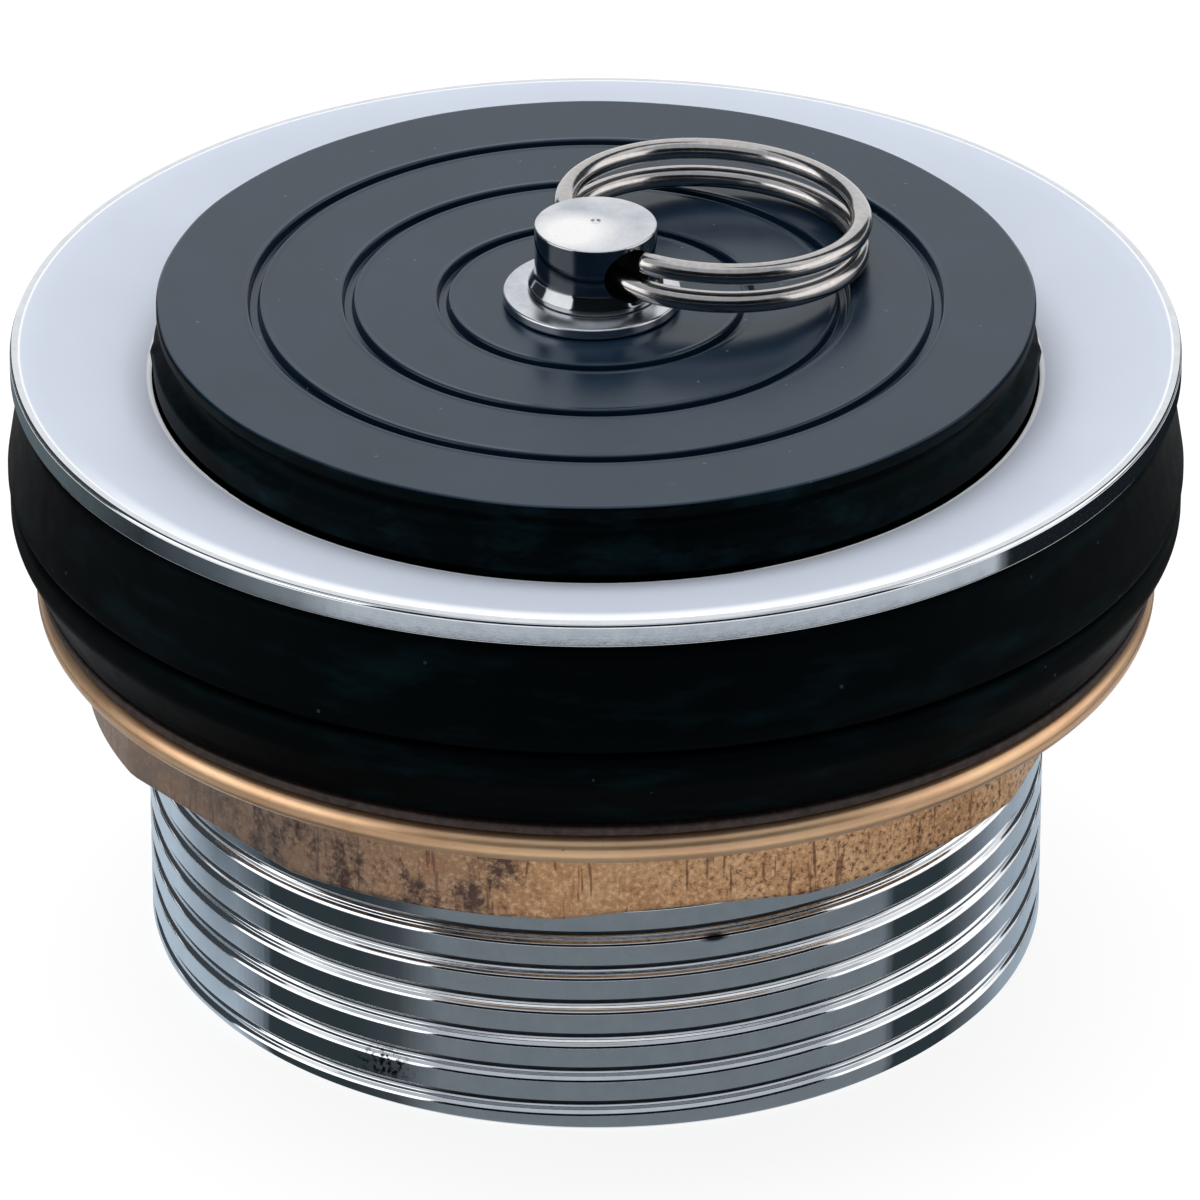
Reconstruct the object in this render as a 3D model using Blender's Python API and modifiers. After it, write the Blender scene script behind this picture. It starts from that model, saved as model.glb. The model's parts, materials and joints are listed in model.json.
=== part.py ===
"""Bath drain fitting with its lift-out rubber stopper.

The origin is the centre of the tail's lower end. +Z points up, out of the drain,
and the camera of the reference picture looks along +Y. Lengths are in metres.
"""

import math

import bmesh
import bpy
from mathutils import Matrix, Vector

# Tail and its thread: parallel pipe thread, 53.746 mm across, 11 turns to the inch
BODY_HEIGHT = 0.0384
THREAD_RADIUS = 0.026873
THREAD_PITCH = 0.0254 / 11.0
THREAD_DEPTH = 0.00095
THREAD_MOUTH_WIDTH = 0.0010
THREAD_START_DEPTH = 0.0125
THREAD_FRONT_HEIGHT = 0.01330
THREAD_CLEARANCE = 0.00015
TAIL_WALL = 0.0029
TAIL_END_CHAMFER = 0.0005

# Flange, neck, opening and seat
FLANGE_RADIUS = 0.0345
FLANGE_RIM_HEIGHT = 0.0015
FLANGE_EDGE_ROUND = 0.00018
FLANGE_ROLL_WIDTH = 0.0014
FLANGE_LIP_WIDTH = 0.0012
DISH_ANGLE = math.radians(15.0)
NECK_STEP = 0.00073
NECK_END_ABOVE_SEAM = 0.0018
SEAT_LEDGE_WIDTH = 0.0012
SEAT_TAPER = 0.0020
SEAT_DEPTH = 0.0070
OPENING_EDGE_ROUND = 0.0003

# Cross cast into the bore
CROSS_TOP_DEPTH = 0.0185
CROSS_BAR_HEIGHT = 0.0035
CROSS_BAR_WIDTH = 0.0030
CROSS_ROOT_LENGTH = 0.0006
CROSS_HUB_RADIUS = 0.0042
CROSS_HUB_RISE = 0.0003
CROSS_TURN = math.radians(20.0)

# Rings under the flange
STACK_GAP = 0.0003
RING_CLEARANCE = 0.0003
UPPER_GASKET_THICKNESS = 0.00655
UPPER_GASKET_TOP_INSET = 0.0011
UPPER_GASKET_BULGE = 0.0003
UPPER_GASKET_CHAMFER = 0.0006
LOWER_GASKET_THICKNESS = 0.00505
LOWER_GASKET_BULGE = 0.0002
LOWER_GASKET_FOOT_INSET = 0.0015
LOWER_GASKET_TAPER_HEIGHT = 0.0026
GASKET_LIP_ROUND = 0.0008
SLIP_WASHER_WIDTH = 0.0060
SLIP_WASHER_THICKNESS = 0.00055
SLIP_WASHER_EDGE = 0.00012

# Lock nut: a rounded collar on a six-sided body with turned corners, cast a little off centre
NUT_WALL = 0.00183
NUT_CORNER_HEIGHT = 0.0009
NUT_COLLAR_WIDTH = 0.0034
NUT_COLLAR_HEIGHT = 0.0017
NUT_BODY_HEIGHT = 0.0056
NUT_BODY_SHIFT = 0.0006
NUT_EDGE_CHAMFER = 0.0003
NUT_FLATS = 6
NUT_TURN = math.radians(-79.0)

# Rubber plug
PLUG_TOP_ABOVE_RIM = 0.0025
PLUG_TOP_INSET = 0.00035
PLUG_TOP_EDGE_ROUND = 0.0002
PLUG_TOP_LAND = 0.0006
PLUG_WAIST_INSET = 0.0013
PLUG_SHOULDER_INSET = 0.00015
PLUG_SHOULDER_HEIGHT = 0.0012
PLUG_SHOULDER_ABOVE_OPENING = 0.0005
PLUG_SEAT_CLEARANCE = 0.0003
PLUG_BOTTOM_EDGE_ROUND = 0.0006
RIB_GROOVE_COUNT = 3
RIB_GROOVE_FIRST_RADIUS = 0.0090
RIB_GROOVE_STEP = 0.00555
RIB_GROOVE_WIDTH = 0.0007
RIB_GROOVE_FLOOR_WIDTH = 0.00035
RIB_GROOVE_DEPTH = 0.0005

# Pull knob: post, shank, washers and nut
SEAT_GAP = 0.00025
SHANK_RADIUS = 0.0020
SHANK_CLEARANCE = 0.0003
SHANK_END_CHAMFER = 0.0004
SHANK_END_BEYOND_NUT = 0.0010
TOP_WASHER_RADIUS = 0.00525
TOP_WASHER_THICKNESS = 0.00065
TOP_WASHER_EDGE = 0.00015
TOP_WASHER_PLAY = 0.00075
TOP_WASHER_SLIDE_ANGLE = math.radians(-117.0)
POST_RADIUS = 0.0036
POST_DOME_HEIGHT = 0.0002
POST_EDGE_ROUND = 0.00015
POST_FOOT_WIDTH = 0.0003
POST_FOOT_HEIGHT = 0.0007
POST_PIP_RADIUS = 0.00035
POST_PIP_DEPTH = 0.00015
POST_WALL_ABOVE_HOLE = 0.00023
POST_WALL_BELOW_HOLE = 0.00027
BOTTOM_WASHER_RADIUS = 0.0070
BOTTOM_WASHER_THICKNESS = 0.0010
BOTTOM_WASHER_EDGE = 0.0002
STEM_NUT_ACROSS_FLATS = 0.0070
STEM_NUT_HEIGHT = 0.0032
STEM_NUT_CHAMFER = 0.0004

# Split ring: two turns of round wire
RING_WIRE_RADIUS = 0.00065
RING_MEAN_RADIUS = 0.0088
RING_TURN_GAP = 0.00048
RING_HOLE_CLEARANCE = 0.00015
RING_END_CLEARANCE = 0.00073
RING_CROSSING_ANGLE = math.radians(36.0)
RING_AZIMUTH = math.radians(35.0)
RING_REST_GAP = 0.0003
RING_POINTS_PER_TURN = 24

# Facets round a turn, and how far a cutter runs past what it cuts
BODY_STEPS = 48
POST_STEPS = 32
SMALL_STEPS = 24
CUT_OVERRUN = 0.0005
MERGE_DISTANCE = 0.000002

# Radii that follow from the sizes above
THREAD_ROOT_RADIUS = THREAD_RADIUS - THREAD_DEPTH
BORE_RADIUS = THREAD_ROOT_RADIUS - TAIL_WALL
SEAT_BOTTOM_RADIUS = BORE_RADIUS + SEAT_LEDGE_WIDTH
OPENING_RADIUS = SEAT_BOTTOM_RADIUS + SEAT_TAPER
DISH_OUTER_RADIUS = FLANGE_RADIUS - FLANGE_EDGE_ROUND - FLANGE_ROLL_WIDTH
LIP_RADIUS = FLANGE_RADIUS - FLANGE_LIP_WIDTH
NECK_RADIUS = THREAD_RADIUS + NECK_STEP
TAIL_RING_BORE = THREAD_RADIUS + RING_CLEARANCE
NUT_FLAT_RADIUS = TAIL_RING_BORE + NUT_WALL
NUT_CORNER_RADIUS = NUT_FLAT_RADIUS + NUT_CORNER_HEIGHT
NUT_COLLAR_RADIUS = NUT_CORNER_RADIUS + NUT_COLLAR_WIDTH
SHANK_HOLE_RADIUS = SHANK_RADIUS + SHANK_CLEARANCE

# Heights of the body, and of the rings and the nut under its flange
RIM_TOP = BODY_HEIGHT
RIM_BOTTOM = RIM_TOP - FLANGE_RIM_HEIGHT
ROLL_RADIUS = FLANGE_ROLL_WIDTH / math.sin(DISH_ANGLE)
ROLL_DROP = ROLL_RADIUS * (1.0 - math.cos(DISH_ANGLE))
OPENING_HEIGHT = RIM_TOP - ROLL_DROP - (DISH_OUTER_RADIUS - OPENING_RADIUS) * math.tan(DISH_ANGLE)
SEAT_BOTTOM = OPENING_HEIGHT - SEAT_DEPTH
NECK_TOP = RIM_BOTTOM - (LIP_RADIUS - NECK_RADIUS) * math.tan(DISH_ANGLE)
UPPER_GASKET_TOP = RIM_BOTTOM - STACK_GAP
UPPER_GASKET_BOTTOM = UPPER_GASKET_TOP - UPPER_GASKET_THICKNESS
NECK_BOTTOM = UPPER_GASKET_BOTTOM + NECK_END_ABOVE_SEAM
LOWER_GASKET_TOP = UPPER_GASKET_BOTTOM - STACK_GAP
LOWER_GASKET_BOTTOM = LOWER_GASKET_TOP - LOWER_GASKET_THICKNESS
SLIP_WASHER_TOP = LOWER_GASKET_BOTTOM - STACK_GAP
SLIP_WASHER_BOTTOM = SLIP_WASHER_TOP - SLIP_WASHER_THICKNESS
NUT_TOP = SLIP_WASHER_BOTTOM - STACK_GAP
NUT_COLLAR_BOTTOM = NUT_TOP - NUT_COLLAR_HEIGHT
NUT_BOTTOM = NUT_COLLAR_BOTTOM - NUT_BODY_HEIGHT

# The ring's centre stands off its hinge axis by the mean of the chord inside the post
RING_CHORD_SAG = RING_MEAN_RADIUS - math.sqrt(RING_MEAN_RADIUS ** 2 - POST_RADIUS ** 2)
RING_OFFSET = RING_MEAN_RADIUS - RING_CHORD_SAG / 2.0
RING_HALF_SPACING = RING_WIRE_RADIUS + RING_TURN_GAP / 2.0
RING_MOUTH_ANGLE = math.asin(POST_RADIUS / RING_MEAN_RADIUS)
RING_MOUTH_SHARE = math.sin(math.pi / 2.0 * min(1.0, RING_MOUTH_ANGLE / RING_CROSSING_ANGLE))
RING_MOUTH_REACH = math.hypot(RING_HALF_SPACING * RING_MOUTH_SHARE, RING_CHORD_SAG / 2.0)
RING_HOLE_RADIUS = RING_MOUTH_REACH + RING_WIRE_RADIUS + RING_HOLE_CLEARANCE
RING_END_ANGLE = math.asin((POST_RADIUS + RING_END_CLEARANCE) / RING_MEAN_RADIUS)

# Heights of the plug and its knob
PLUG_TOP = RIM_TOP + PLUG_TOP_ABOVE_RIM
PLUG_BOTTOM = SEAT_BOTTOM + PLUG_SEAT_CLEARANCE
TOP_WASHER_BOTTOM = PLUG_TOP + SEAT_GAP
TOP_WASHER_TOP = TOP_WASHER_BOTTOM + TOP_WASHER_THICKNESS
POST_BOTTOM = TOP_WASHER_TOP + SEAT_GAP
RING_AXIS_HEIGHT = POST_BOTTOM + POST_WALL_BELOW_HOLE + RING_HOLE_RADIUS
POST_EDGE_TOP = RING_AXIS_HEIGHT + RING_HOLE_RADIUS + POST_WALL_ABOVE_HOLE
BOTTOM_WASHER_TOP = PLUG_BOTTOM - SEAT_GAP
BOTTOM_WASHER_BOTTOM = BOTTOM_WASHER_TOP - BOTTOM_WASHER_THICKNESS
STEM_NUT_TOP = BOTTOM_WASHER_BOTTOM - SEAT_GAP
STEM_NUT_BOTTOM = STEM_NUT_TOP - STEM_NUT_HEIGHT
SHANK_BOTTOM = STEM_NUT_BOTTOM - SHANK_END_BEYOND_NUT

# The ring leans until its far side lies on the rubber
RING_FAR_REACH = RING_OFFSET + RING_MEAN_RADIUS
RING_HALF_STACK = RING_HALF_SPACING + RING_WIRE_RADIUS
RING_DROP = RING_AXIS_HEIGHT - RING_HALF_STACK - PLUG_TOP - RING_REST_GAP
RING_SLOPE = math.asin(RING_DROP / RING_FAR_REACH)


def clear_scene():
    for item in list(bpy.data.objects):
        bpy.data.objects.remove(item, do_unlink=True)


def new_collection(name):
    collection = bpy.data.collections.new(name)
    bpy.context.scene.collection.children.link(collection)
    return collection


def new_material(name, colour, roughness, metallic):
    material = bpy.data.materials.new(name)
    material.use_nodes = True
    shader = material.node_tree.nodes["Principled BSDF"]
    shader.inputs["Base Color"].default_value = (*colour, 1.0)
    shader.inputs["Roughness"].default_value = roughness
    shader.inputs["Metallic"].default_value = metallic
    material.diffuse_color = (*colour, 1.0)
    return material


def arc(centre_r, centre_z, radius, start_deg, end_deg, pieces):
    """Points of an arc in the profile plane, both ends included."""
    points = []
    for index in range(pieces + 1):
        angle = math.radians(start_deg + (end_deg - start_deg) * index / pieces)
        points.append((centre_r + radius * math.cos(angle), centre_z + radius * math.sin(angle)))
    return points


def outline_object(name, profile, collection, closed):
    """A profile of (radius, height) points in the XZ plane, as edges only."""
    mesh = bpy.data.meshes.new(name)
    edges = [(index, index + 1) for index in range(len(profile) - 1)]
    if closed:
        edges.append((len(profile) - 1, 0))
    mesh.from_pydata([(radius, 0.0, height) for radius, height in profile], edges, [])
    obj = bpy.data.objects.new(name, mesh)
    collection.objects.link(obj)
    return obj


def add_screw(obj, steps, rise=0.0, turns=1):
    screw = obj.modifiers.new("Turn", "SCREW")
    screw.axis = "Z"
    screw.angle = 2.0 * math.pi
    screw.screw_offset = rise
    screw.iterations = turns
    screw.steps = steps
    screw.render_steps = steps
    screw.use_merge_vertices = True
    screw.merge_threshold = MERGE_DISTANCE
    screw.use_smooth_shade = True


def turned(name, profile, collection, steps=BODY_STEPS, closed=True):
    """Turns a profile about Z. It runs down its outer side; an open one ends on the axis."""
    obj = outline_object(name, profile, collection, closed)
    add_screw(obj, steps)
    return obj


def add_boolean(obj, other, operation):
    boolean = obj.modifiers.new(operation.title(), "BOOLEAN")
    boolean.operation = operation
    boolean.object = other
    boolean.solver = "EXACT"


def as_cutter(obj):
    obj.hide_render = True
    obj.display_type = "WIRE"
    return obj


def evaluated_mesh(obj):
    """A plain mesh of the object with its modifiers applied."""
    bpy.context.view_layer.update()
    graph = bpy.context.evaluated_depsgraph_get()
    return bpy.data.meshes.new_from_object(obj.evaluated_get(graph))


def cylinder(name, radius, low, high, collection, steps=SMALL_STEPS):
    mesh = bpy.data.meshes.new(name)
    work = bmesh.new()
    middle = Matrix.Translation((0.0, 0.0, (low + high) / 2.0))
    bmesh.ops.create_cone(work, cap_ends=True, segments=steps, radius1=radius, radius2=radius,
                          depth=high - low, matrix=middle)
    work.to_mesh(mesh)
    work.free()
    obj = bpy.data.objects.new(name, mesh)
    collection.objects.link(obj)
    return obj


def box(name, size, collection):
    mesh = bpy.data.meshes.new(name)
    work = bmesh.new()
    bmesh.ops.create_cube(work, size=1.0, matrix=Matrix.Diagonal((*size, 1.0)))
    work.to_mesh(mesh)
    work.free()
    obj = bpy.data.objects.new(name, mesh)
    collection.objects.link(obj)
    return obj


def body_profile():
    """Section of the drain body: out over the dish, down the rim, neck and tail, up the bore."""
    dish_deg = math.degrees(DISH_ANGLE)
    roll_centre = FLANGE_RADIUS - FLANGE_EDGE_ROUND
    points = [(OPENING_RADIUS, OPENING_HEIGHT)]
    points += arc(roll_centre, RIM_TOP - ROLL_RADIUS, ROLL_RADIUS, 90.0 + dish_deg, 90.0, 3)
    points.append((FLANGE_RADIUS, RIM_TOP - FLANGE_EDGE_ROUND))
    points.append((FLANGE_RADIUS, RIM_BOTTOM))
    points.append((LIP_RADIUS, RIM_BOTTOM))
    points.append((NECK_RADIUS, NECK_TOP))
    points.append((NECK_RADIUS, NECK_BOTTOM))
    points.append((THREAD_RADIUS, NECK_BOTTOM))
    points.append((THREAD_RADIUS, TAIL_END_CHAMFER))
    points.append((THREAD_RADIUS - TAIL_END_CHAMFER, 0.0))
    points.append((BORE_RADIUS, 0.0))
    points.append((BORE_RADIUS, SEAT_BOTTOM))
    points.append((SEAT_BOTTOM_RADIUS, SEAT_BOTTOM))
    points.append((OPENING_RADIUS - OPENING_EDGE_ROUND, OPENING_HEIGHT - OPENING_EDGE_ROUND))
    return points


def thread_half_width(radius):
    """Half the width of the thread's V groove at a radius, its flanks carried on past the crest."""
    return THREAD_MOUTH_WIDTH / 2.0 * (radius - THREAD_ROOT_RADIUS) / THREAD_DEPTH


def thread_height():
    """Height of a turn of the groove on the +X side, a quarter turn on from the front."""
    return THREAD_FRONT_HEIGHT + THREAD_PITCH / 4.0


def thread_helix(name, section, low, high, collection):
    """Sweeps a section along the tail's right-hand groove, from below one height to above another.

    The sweep is turned by half a facet, so that its edges cross the faces that it meets.
    """
    first = math.floor((low - thread_height()) / THREAD_PITCH)
    last = math.ceil((high - thread_height()) / THREAD_PITCH)
    guide = outline_object(name + "_guide", section, collection, True)
    add_screw(guide, BODY_STEPS, THREAD_PITCH, last - first)
    swept = evaluated_mesh(guide)
    bpy.data.objects.remove(guide, do_unlink=True)
    work = bmesh.new()
    work.from_mesh(swept)
    bmesh.ops.holes_fill(work, edges=[edge for edge in work.edges if edge.is_boundary], sides=0)
    bmesh.ops.recalc_face_normals(work, faces=work.faces)
    work.to_mesh(swept)
    work.free()
    obj = bpy.data.objects.new(name, swept)
    half_step = 0.5 / BODY_STEPS
    obj.rotation_euler.z = 2.0 * math.pi * half_step
    obj.location.z = thread_height() + (first + half_step) * THREAD_PITCH
    collection.objects.link(obj)
    return obj


def make_thread_groove(cutters):
    outer = THREAD_RADIUS + CUT_OVERRUN
    half = thread_half_width(outer)
    section = [(outer, half), (outer, -half), (THREAD_ROOT_RADIUS, 0.0)]
    top = RIM_TOP - THREAD_START_DEPTH - THREAD_PITCH
    return thread_helix("thread_groove", section, -2.0 * THREAD_PITCH, top, cutters)


def make_drain_body(parts, cutters):
    body = turned("drain_body", body_profile(), parts)
    bar_size = (2.0 * (BORE_RADIUS + CROSS_ROOT_LENGTH), CROSS_BAR_WIDTH, CROSS_BAR_HEIGHT)
    bar_middle = RIM_TOP - CROSS_TOP_DEPTH - CROSS_BAR_HEIGHT / 2.0
    for index in range(2):
        bar = box("cross_bar_%d" % (index + 1), bar_size, cutters)
        bar.location.z = bar_middle
        bar.rotation_euler.z = CROSS_TURN + index * math.pi / 2.0
        add_boolean(body, as_cutter(bar), "UNION")
    hub_half = CROSS_BAR_HEIGHT / 2.0 + CROSS_HUB_RISE
    hub = cylinder("cross_hub", CROSS_HUB_RADIUS, bar_middle - hub_half, bar_middle + hub_half, cutters)
    add_boolean(body, as_cutter(hub), "UNION")
    add_boolean(body, as_cutter(make_thread_groove(cutters)), "DIFFERENCE")
    return body


def make_upper_gasket(parts):
    """Rubber ring under the flange. Its side flares to a round lip, its top follows the flange."""
    bore = NECK_RADIUS + RING_CLEARANCE
    top_radius = FLANGE_RADIUS - UPPER_GASKET_TOP_INSET
    inner_top = UPPER_GASKET_TOP - (LIP_RADIUS - bore) * math.tan(DISH_ANGLE)
    lip_centre = FLANGE_RADIUS + UPPER_GASKET_BULGE - GASKET_LIP_ROUND
    lip_height = UPPER_GASKET_BOTTOM + GASKET_LIP_ROUND
    points = [(bore, inner_top), (LIP_RADIUS, UPPER_GASKET_TOP), (top_radius, UPPER_GASKET_TOP)]
    points.append((top_radius + UPPER_GASKET_CHAMFER, UPPER_GASKET_TOP - UPPER_GASKET_CHAMFER))
    points += arc(lip_centre, lip_height, GASKET_LIP_ROUND, 0.0, -90.0, 3)
    points.append((bore, UPPER_GASKET_BOTTOM))
    return turned("upper_gasket", points, parts)


def make_lower_gasket(parts):
    """Rubber ring above the slip washer. Round at its top edge, drawn in towards its foot."""
    radius = FLANGE_RADIUS + LOWER_GASKET_BULGE
    foot_radius = radius - LOWER_GASKET_FOOT_INSET
    points = [(TAIL_RING_BORE, LOWER_GASKET_TOP)]
    lip_height = LOWER_GASKET_TOP - GASKET_LIP_ROUND
    points += arc(radius - GASKET_LIP_ROUND, lip_height, GASKET_LIP_ROUND, 90.0, 0.0, 3)
    taper_pieces = 4
    for index in range(taper_pieces + 1):
        angle = math.radians(90.0 * index / taper_pieces)
        height = LOWER_GASKET_BOTTOM + LOWER_GASKET_TAPER_HEIGHT * (1.0 - math.sin(angle))
        points.append((foot_radius + LOWER_GASKET_FOOT_INSET * math.cos(angle), height))
    points.append((TAIL_RING_BORE, LOWER_GASKET_BOTTOM))
    return turned("lower_gasket", points, parts)


def washer_profile(hole, radius, bottom, top, edge):
    return [(hole, top), (radius - edge, top), (radius, top - edge),
            (radius, bottom + edge), (radius - edge, bottom), (hole, bottom)]


def make_slip_washer(parts):
    profile = washer_profile(TAIL_RING_BORE, TAIL_RING_BORE + SLIP_WASHER_WIDTH,
                             SLIP_WASHER_BOTTOM, SLIP_WASHER_TOP, SLIP_WASHER_EDGE)
    return turned("slip_washer", profile, parts)


def make_nut_body(cutters):
    """The nut's six-sided body: a turned disc inside a six-sided bar, its top let into the collar."""
    top = NUT_COLLAR_BOTTOM + CUT_OVERRUN
    profile = [(0.0, top), (NUT_CORNER_RADIUS, top)]
    profile.append((NUT_CORNER_RADIUS, NUT_BOTTOM + NUT_EDGE_CHAMFER))
    profile.append((NUT_CORNER_RADIUS - NUT_EDGE_CHAMFER, NUT_BOTTOM))
    profile.append((0.0, NUT_BOTTOM))
    body = turned("nut_body", profile, cutters, closed=False)
    bar_radius = NUT_FLAT_RADIUS / math.cos(math.pi / NUT_FLATS)
    bar = cylinder("nut_bar", bar_radius, NUT_BOTTOM - CUT_OVERRUN, top + CUT_OVERRUN, cutters, NUT_FLATS)
    bar.rotation_euler.z = NUT_TURN
    body.location.x = -NUT_BODY_SHIFT
    bar.location.x = -NUT_BODY_SHIFT
    add_boolean(body, as_cutter(bar), "INTERSECT")
    return body


def make_nut_thread(cutters):
    """Ridge that runs in the tail's groove with a clearance, trimmed to the nut's height."""
    flank_angle = math.atan(THREAD_MOUTH_WIDTH / 2.0 / THREAD_DEPTH)
    narrowing = THREAD_CLEARANCE / math.cos(flank_angle)
    crest = THREAD_RADIUS - THREAD_DEPTH / 2.0
    root = TAIL_RING_BORE + CUT_OVERRUN
    crest_half = thread_half_width(crest) - narrowing
    root_half = thread_half_width(root) - narrowing
    section = [(root, root_half), (root, -root_half), (crest, -crest_half), (crest, crest_half)]
    ridge = thread_helix("nut_thread", section, NUT_BOTTOM, NUT_TOP, cutters)
    low = NUT_BOTTOM + NUT_EDGE_CHAMFER
    high = NUT_TOP - NUT_EDGE_CHAMFER
    limit = cylinder("nut_thread_limit", NUT_FLAT_RADIUS, low, high, cutters)
    add_boolean(ridge, as_cutter(limit), "INTERSECT")
    return ridge


def make_lock_nut(parts, cutters):
    round_radius = NUT_COLLAR_HEIGHT / 2.0
    round_centre = NUT_COLLAR_RADIUS - round_radius
    profile = [(0.0, NUT_TOP)]
    profile += arc(round_centre, NUT_TOP - round_radius, round_radius, 90.0, -90.0, 6)
    profile.append((0.0, NUT_COLLAR_BOTTOM))
    nut = turned("lock_nut", profile, parts, closed=False)
    add_boolean(nut, as_cutter(make_nut_body(cutters)), "UNION")
    bore = cylinder("nut_bore", TAIL_RING_BORE, NUT_BOTTOM - CUT_OVERRUN, NUT_TOP + CUT_OVERRUN,
                    cutters, BODY_STEPS)
    add_boolean(nut, as_cutter(bore), "DIFFERENCE")
    add_boolean(nut, as_cutter(make_nut_thread(cutters)), "UNION")
    return nut


def seat_radius(height):
    """Radius of the drain's conical seat at a height."""
    top_radius = OPENING_RADIUS - OPENING_EDGE_ROUND
    return top_radius - (top_radius - SEAT_BOTTOM_RADIUS) * (OPENING_HEIGHT - height) / SEAT_DEPTH


def plug_profile():
    """Section of the plug: ribbed top, land, waist, shoulder, then the cone that seals."""
    half = RIB_GROOVE_WIDTH / 2.0
    floor_half = RIB_GROOVE_FLOOR_WIDTH / 2.0
    points = [(SHANK_HOLE_RADIUS, PLUG_TOP)]
    for index in range(RIB_GROOVE_COUNT):
        middle = RIB_GROOVE_FIRST_RADIUS + index * RIB_GROOVE_STEP
        points.append((middle - half, PLUG_TOP))
        points.append((middle - floor_half, PLUG_TOP - RIB_GROOVE_DEPTH))
        points.append((middle + floor_half, PLUG_TOP - RIB_GROOVE_DEPTH))
        points.append((middle + half, PLUG_TOP))
    top_radius = OPENING_RADIUS - PLUG_TOP_INSET
    land_bottom = PLUG_TOP - PLUG_TOP_LAND
    shoulder_radius = OPENING_RADIUS - PLUG_SHOULDER_INSET
    shoulder_bottom = OPENING_HEIGHT + PLUG_SHOULDER_ABOVE_OPENING
    shoulder_top = shoulder_bottom + PLUG_SHOULDER_HEIGHT
    points.append((top_radius - PLUG_TOP_EDGE_ROUND, PLUG_TOP))
    points.append((top_radius, PLUG_TOP - PLUG_TOP_EDGE_ROUND))
    points.append((top_radius, land_bottom))
    points.append((OPENING_RADIUS - PLUG_WAIST_INSET, (land_bottom + shoulder_top) / 2.0))
    points.append((shoulder_radius, shoulder_top))
    points.append((shoulder_radius, shoulder_bottom))
    lean = math.atan((OPENING_RADIUS - SEAT_BOTTOM_RADIUS) / SEAT_DEPTH)
    clear = PLUG_SEAT_CLEARANCE / math.cos(lean)
    cone_top = OPENING_HEIGHT + PLUG_SEAT_CLEARANCE / 2.0
    cone_bottom = PLUG_BOTTOM + PLUG_BOTTOM_EDGE_ROUND
    points.append((seat_radius(cone_top) - clear, cone_top))
    points.append((seat_radius(cone_bottom) - clear, cone_bottom))
    points.append((seat_radius(cone_bottom) - clear - PLUG_BOTTOM_EDGE_ROUND, PLUG_BOTTOM))
    points.append((SHANK_HOLE_RADIUS, PLUG_BOTTOM))
    return points


def make_plug(parts):
    return turned("plug", plug_profile(), parts)


def make_top_washer(parts):
    """Washer under the post, slid to one side on the shank as far as it goes."""
    hole = SHANK_RADIUS + TOP_WASHER_PLAY
    profile = washer_profile(hole, TOP_WASHER_RADIUS, TOP_WASHER_BOTTOM, TOP_WASHER_TOP, TOP_WASHER_EDGE)
    washer = turned("top_washer", profile, parts, SMALL_STEPS)
    slide = TOP_WASHER_PLAY - SHANK_CLEARANCE
    washer.location.x = slide * math.cos(TOP_WASHER_SLIDE_ANGLE)
    washer.location.y = slide * math.sin(TOP_WASHER_SLIDE_ANGLE)
    return washer


def make_bottom_washer(parts):
    profile = washer_profile(SHANK_HOLE_RADIUS, BOTTOM_WASHER_RADIUS, BOTTOM_WASHER_BOTTOM,
                             BOTTOM_WASHER_TOP, BOTTOM_WASHER_EDGE)
    return turned("bottom_washer", profile, parts, SMALL_STEPS)


def make_stem_nut(parts, cutters):
    """Hexagon nut: a turned blank with its corners chamfered, inside a six-sided bar."""
    corner = STEM_NUT_ACROSS_FLATS / math.sqrt(3.0)
    face = corner - 2.0 * STEM_NUT_CHAMFER
    blank = [(SHANK_HOLE_RADIUS, STEM_NUT_TOP), (face, STEM_NUT_TOP)]
    blank.append((corner, STEM_NUT_TOP - STEM_NUT_CHAMFER))
    blank.append((corner, STEM_NUT_BOTTOM + STEM_NUT_CHAMFER))
    blank.append((face, STEM_NUT_BOTTOM))
    blank.append((SHANK_HOLE_RADIUS, STEM_NUT_BOTTOM))
    nut = turned("stem_nut", blank, parts, SMALL_STEPS)
    bar = cylinder("stem_nut_bar", corner, STEM_NUT_BOTTOM - CUT_OVERRUN, STEM_NUT_TOP + CUT_OVERRUN,
                   cutters, 6)
    add_boolean(nut, as_cutter(bar), "INTERSECT")
    return nut


def make_knob_post(parts, cutters):
    """Post with a domed top and a shank below, cross-drilled for the ring."""
    dome_top = POST_EDGE_TOP + POST_DOME_HEIGHT
    points = [(0.0, dome_top - POST_PIP_DEPTH), (POST_PIP_RADIUS, dome_top)]
    points.append((POST_RADIUS - POST_EDGE_ROUND, POST_EDGE_TOP))
    points.append((POST_RADIUS, POST_EDGE_TOP - POST_EDGE_ROUND))
    points.append((POST_RADIUS, POST_BOTTOM + POST_FOOT_HEIGHT))
    points.append((POST_RADIUS + POST_FOOT_WIDTH, POST_BOTTOM))
    points.append((SHANK_RADIUS, POST_BOTTOM))
    points.append((SHANK_RADIUS, SHANK_BOTTOM + SHANK_END_CHAMFER))
    points.append((SHANK_RADIUS - SHANK_END_CHAMFER, SHANK_BOTTOM))
    points.append((0.0, SHANK_BOTTOM))
    post = turned("knob_post", points, parts, POST_STEPS, closed=False)
    drill = cylinder("ring_hole", RING_HOLE_RADIUS, -2.0 * POST_RADIUS, 2.0 * POST_RADIUS, cutters)
    drill.matrix_world = ring_frame() @ Matrix.Rotation(math.radians(90.0), 4, "Y")
    add_boolean(post, as_cutter(drill), "DIFFERENCE")
    return post


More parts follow.
